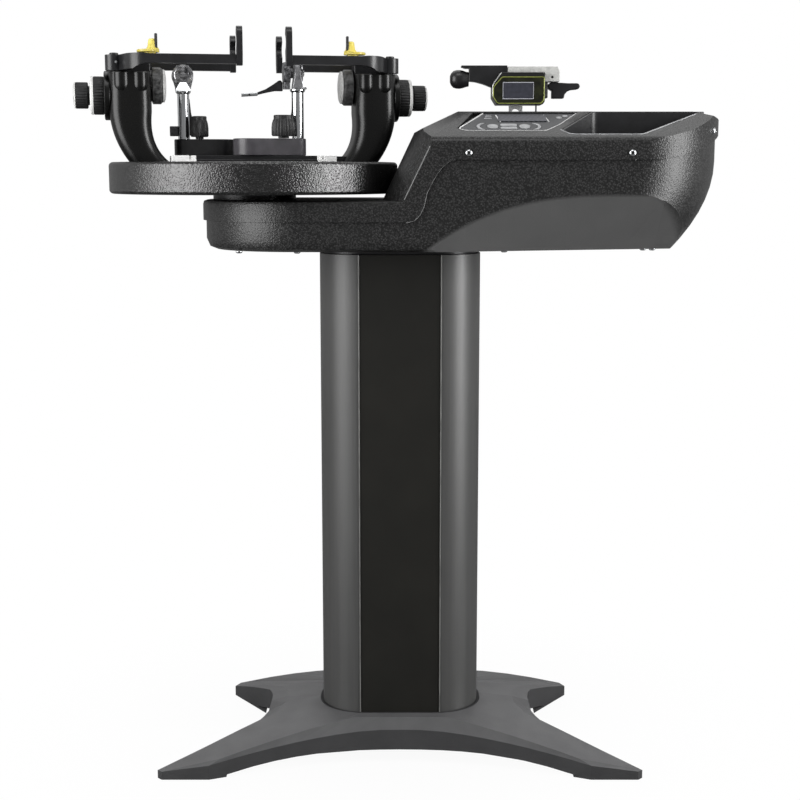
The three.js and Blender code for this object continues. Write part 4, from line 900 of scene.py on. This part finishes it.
# The hold-downs: a yellow plastic cam on each tower's carrier, turned by hand, with a cone on it
# and a dark steel pin that stands beside the cone.
cam_low, hub_x, cam_x, cone_x, pin_x, pin_y = 1071.8, 152, 156, 148.6, 143.4, 5
hub = [(9, 0), (9, 6), (10, 6.2)]
rim = [(15, 6), (16, 6.8), (16, 9), (14.6, 10), (11, 10.4)]
cone = [(10.2, 6), (9.8, 11), (7.4, 14), (6.2, 22), (5.4, 25), (4, 26)]
pin = [(2.2, 12), (2.2, 32.6), (1.4, 33.4)]
for side, (tower, front) in towers.items():
    body = f"{side}_hold_down"
    for part, profile, steps, x in (("hub", hub, 32, hub_x), ("rim", rim, 40, cam_x),
                                    ("cone", cone, 32, cone_x)):
        raised = [(radius, cam_low + z) for radius, z in profile]
        cam = piece(f"{body}_{part}", spun(raised, steps), yellow_plastic, body,
                    tower @ moved(x, 0, 0))
        if part == "rim":
            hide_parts(f"{side}_hold_down")
    raised = [(radius, cam_low + z) for radius, z in pin]
    piece(f"{body}_pin", spun(raised, 16), black_steel, body,
          tower @ moved(pin_x, front * pin_y, 0))

# The string clamps: a sliding casting, black on the left and painted grey on the right to stand
# for the reflection on its flat front, with a chrome post. On the post swivels a head with round
# jaws, a stem, a silver dial, a bright lip and a lever. A ribbed barrel knob with a fin locks the
# casting, and a lug stands by the left post.
polished = mottled(
    "polished_dark", "#0c0c0c", "#77777a", 240, {"Metallic": 0.3, "Roughness": 0.3}, 400, 0.12,
)
stem_steel = mottled("stem_steel", "#5d5d60", "#a3a3a5", 90, {"Metallic": 0.5, "Roughness": 0.28})
dial_silver = mottled("dial_silver", "#4c4c4f", "#d6d6d8", 130, {"Metallic": 0.8, "Roughness": 0.2})
lever_steel = mottled("lever_steel", "#1c1c1e", "#2f2f32", 90, {"Metallic": 0.4, "Roughness": 0.3})
base_black = mottled("base_black", "#101011", "#1d1d1f", 60, {"Roughness": 0.3}, 900, 0.04)
# The right casting's grey paints the reflection seen on its flat front.
painted_reflection_grey = mottled("painted_reflection_grey", "#3f3d41", "#4f4d51", 60, {"Roughness": 0.34}, 900, 0.04)
clamps = {
    "left": {"post": (-104, 36), "head_turn": -90, "inwards": 1, "casting": base_black},
    "right": {"post": (63.4, -36), "head_turn": 0, "inwards": -1, "casting": painted_reflection_grey},
}
dial = [
    (5, -5), (5, 0), (16, 0), (16, 1.4), (13, 2.4), (12, 1.8), (9.2, 2), (8.6, 3), (4.4, 3.2),
    (4.2, 4.8), (3, 5.2),
]
jaw_z, dial_seat, post_seat, foot_x, foot_top = 1047, 5, 1024.1, -16.3, 1036
lip_rear = -4
lip_loops = [
    [(x, y, post_seat + z) for x, y in (
        (lip_rear, -half), (lip_front, -half), (lip_front, half), (lip_rear, half)
    )]
    for lip_front, half, z in ((13, 11.4, 0), (12.6, 11, 0.8), (7.6, 4.6, 12))
]
jaw_radius, jaw_outer, jaw_inner, jaw_hub = 16.5, -21.6, -11, 7
jaw = [
    (jaw_radius - 1.6, jaw_outer), (jaw_radius, jaw_outer + 1.4), (jaw_radius, jaw_inner - 1.2),
    (jaw_radius - 1.4, jaw_inner), (jaw_hub, jaw_inner), (jaw_hub, -7),
]
foot_section = shifted(rounded_box(4.8, 9.6, 2, 4), foot_x, 0)
stem_loops = [
    at_height(shifted(rounded_box(half_x, half_y, 1.2, 3), x, 0), z)
    for x, half_x, half_y, z in (
        (0, 8, 11.6, post_seat), (0, 7.8, 12, 1029), (-0.6, 5.2, 15.2, 1040),
        (-0.8, 4.6, 16.2, 1048), (-1, 4, 9, 1062),
    )
]
blade = [
    (-22.4, 1021), (-22.4, 1033), (-25, 1036.4), (-28, 1036.6), (-36, 1031), (-48, 1023.6),
    (-62, 1018.2), (-62, 1014.8), (-48, 1018.2), (-34, 1021),
]
blade_half, eye_x, eye_z = 5, -72, 1015.5
tip_section = rounded_box(5.2, 2.4, 1.4, 4)
tip_loops = [
    [(x, y, z + middle) for y, z in tip_section] for x, middle in ((-83.4, 1014.8), (-60, 1016.4))
]
eye = [(1.7, -5.5), (1.7, 5.5)]
lock_low, lock_x, lock_y, lock_squash = 951.6, 23, -15, 0.76
lock_grip = [
    (8, 0, 0), (8, 0, 3), (16.6, 0.2, 3.1), (18, 0.9, 5), (18, 0.9, 16), (17.2, 0.9, 22),
    (15.6, 0.9, 27), (14.6, 0.2, 28), (14.6, 0, 33), (13.4, 0, 34),
]
fin_plan = [(-15, 5), (-1, 5), (-4, 14), (-8.5, 24), (-12, 38), (-14, 59), (-15, 60)]
fin_half = 1.5
for side, clamp in clamps.items():
    post_x, post_y = clamp["post"]
    head = table @ moved(post_x, post_y, 0) @ spin(clamp["head_turn"], "Z")
    head_body = f"{side}_clamp_head"
    lever_body = f"{side}_clamp_lever"
    lock_body = f"{side}_clamp_lock"
    dress(f"{side}_clamp_base", clamp["casting"], 1.2, 30, 3)
    dress(f"{side}_clamp_post", chrome, 0.4)
    turn = head @ moved(0, 0, jaw_z) @ spin(90, "Y")
    jaws = piece(f"{side}_clamp_jaws", spun(jaw, 40), polished, head_body, turn)
    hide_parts(head_body)
    foot = upright(foot_section, post_seat, foot_top)
    piece(f"{side}_clamp_foot", foot, polished, head_body, head)
    piece(f"{side}_clamp_stem", skin_over(stem_loops), stem_steel, head_body, head)
    turn = head @ moved(dial_seat, 0, jaw_z) @ spin(90, "Y")
    piece(f"{side}_clamp_dial", spun(dial, 40), dial_silver, head_body, turn)
    piece(f"{side}_clamp_lip", skin_over(lip_loops), chrome, head_body, head)

    lever = piece(f"{side}_lever_blade", slab(blade, -blade_half, blade_half), lever_steel,
                  lever_body, head)
    soften(lever, 0.8)
    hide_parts(f"{side}_clamp_lever")
    piece(f"{side}_lever_tip", skin_over(tip_loops), chrome, lever_body, head)
    # A black dot through the lever's tip paints the shade of its eye.
    turn = head @ moved(eye_x, 0, eye_z) @ facing_front
    piece(f"{side}_lever_eye", spun(eye, 16), hole_shade_black, lever_body, turn)

    inwards = clamp["inwards"]
    lock_turn = table @ moved(post_x + lock_x * inwards, post_y + lock_y, lock_low)
    shares = (lock_squash, 1, 1, 1) if inwards > 0 else (1, lock_squash, 1, 1)
    lock = piece(f"{side}_lock_grip", knurled(lock_grip, 24), knob_black, lock_body,
                 lock_turn @ Matrix.Diagonal(shares))
    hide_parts(f"{side}_clamp_lock")
    fin_turn = lock_turn if inwards > 0 else lock_turn @ spin(180, "Z")
    fin = piece(f"{side}_lock_fin", slab(fin_plan, -fin_half, fin_half), knob_black, lock_body,
                fin_turn)
    soften(fin, 0.6)

lug_grey = mottled("lug_grey", "#4b4b4d", "#626265", 60, {"Roughness": 0.4, "Metallic": 0.4})
lug_start, lug_end, lug_y, lug_z = -351.5, -339, 17.4, 963.5
lug_section = shifted(rounded_box(6, 7.5, 1.5, 3), lug_y, lug_z)
lug_loops = [[(x, y, z) for y, z in lug_section] for x in (lug_start, lug_end)]
soften(piece("left_post_lug", skin_over(lug_loops), lug_grey, "left_clamp_head"), 0.6)

# The tension head: a black eight-sided block on a pale carriage, with an olive face plate, a
# bare framed label, a stone-silver string gripper, a black guide horn, a knob and a trigger.
pale_metal = mottled("pale_metal", "#b9b9b9", "#dcdcdb", 120, {"Metallic": 0.1, "Roughness": 0.35})
truck_x, truck_low, truck_top = 175, 937.4, 967.2
truck_shape = upright(shifted(rounded_box(32, 20, 2, 3), truck_x, 0), truck_low, truck_top)
truck = piece("carriage_truck", truck_shape, pale_metal, "tension_head")
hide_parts("head_carriage")
web_left, web_right, web_half, web_low, web_top = 165, 185, 6, 967, 1002
arch_z, arch_radius = 990, 6.4
web = [
    (web_left, web_top), (web_left, web_low), (truck_x - arch_radius, web_low),
    (truck_x - arch_radius, arch_z), *reversed(arc(truck_x, arch_z, arch_radius, 0, 180, 10)),
    (truck_x + arch_radius, web_low), (web_right, web_low), (web_right, web_top),
]
web_shape = slab(web, -web_half, web_half)
piece("carriage_web", web_shape, pale_metal, "tension_head")
stay, stay_x, stay_y = [(1.2, 991), (1.2, 1002.5)], 205.2, -8
piece("head_stay", spun(stay, 12), black_steel, "tension_head",
      moved(stay_x, stay_y, 0))

head_black = mottled("head_black", "#101010", "#191919", 60, {"Roughness": 0.3}, 1200, 0.03)
dress("head_body", head_black, 0.8)
face_olive = mottled("face_olive", "#10110a", "#2b2d1a", 110, {"Roughness": 0.3, "Metallic": 0.3})
rim_green = mottled("rim_green", "#6a7130", "#959c50", 140, {"Roughness": 0.35, "Metallic": 0.3})
head_front = -24
plate_front, plate_back = head_front - 1, head_front + 0.4
plate = [
    (146, 1003.4), (211.5, 1003.4), (215.6, 1009), (215.6, 1042), (152.6, 1042),
    (139.9, 1027.5), (139.3, 1013),
]
face = slab(plate, plate_front, plate_back)
piece("head_face_plate", face, face_olive, "tension_head")
rim_path = eased([(x, plate_front, z) for x, z in plate], 2.5, True)
face_rim = bead(rim_path, 0.75, toward, True)
piece("head_face_rim", face_rim, rim_green, "tension_head")
# A pale bead along the head's upper left corner paints a glint.
glint = [(138.6, 1014), (138.6, 1030.6), (151.6, 1048.6)]
glint_sink = 0.2
glint_path = eased([(x, head_front - glint_sink, z) for x, z in glint], 3)
corner = bead(glint_path, 0.7, toward)
piece("head_corner_bead", corner, painted_glint, "tension_head")

label_dark = mottled("label_dark", "#2b2c33", "#373841", 160, {"Roughness": 0.3})
label_edge = mottled("label_edge", "#a9aab2", "#c3c4cb", 160, {"Roughness": 0.35})
label = [(154, 1010), (199.6, 1010), (199.6, 1034), (154, 1034)]
label_front, label_back = head_front - 1.6, head_front - 0.8
label_shape = slab(label, label_front, label_back)
piece("head_label", label_shape, label_dark, "tension_head")
frame_path = [(x, label_front, z) for x, z in label]
label_frame = bead(frame_path, 0.6, toward, True)
piece("head_label_frame", label_frame, label_edge, "tension_head")

stone_silver = Finish("stone_silver")
stone = stone_silver.grain(160, 4, 0.7)
stone_silver.coat({
    "Base Color": stone_silver.mixed(stone, paint("#8a8b8a"), paint("#dededa")),
    "Metallic": 0.2,
    "Roughness": 0.38 + stone * 0.12,
    "Normal": stone_silver.relief(stone, 0.12, 0.6),
})
dress("string_gripper", stone_silver, 1.6, 30, 3)
# A black plug fills the gripper's hole and paints the shade in it.
hole_shade_plug, plug_x, plug_z = [(1.9, -15.6), (1.9, 15.6)], 228.4, 1042.5
piece("gripper_hole", spun(hole_shade_plug, 16), hole_shade_black, "tension_head",
      moved(plug_x, 0, plug_z) @ facing_front)
dress("guide_horn", satin_black, 1.2, 30, 3)
guide_z = 1040
guide_grip = [
    (5, 75.4), (9, 77.2), (12.4, 80.6), (13.8, 85.4), (13.9, 90), (13, 95), (11.4, 99.4),
    (10.6, 103.6),
]
ball = piece("guide_knob_grip", spun(guide_grip, 36), satin_black, "guide_knob",
             moved(0, 0, guide_z) @ spin(90, "Y"))
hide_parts("guide_knob")
dress("trigger_lever", satin_black, 1.4, 30, 3)
seat_x, seat_z, seat_half = 219.5, 1024, 8
seat = slab(shifted(rounded_box(3.1, 12, 1.2, 3), seat_x, seat_z), -seat_half, seat_half)
piece("trigger_seat", seat, pad_rubber, "tension_head")
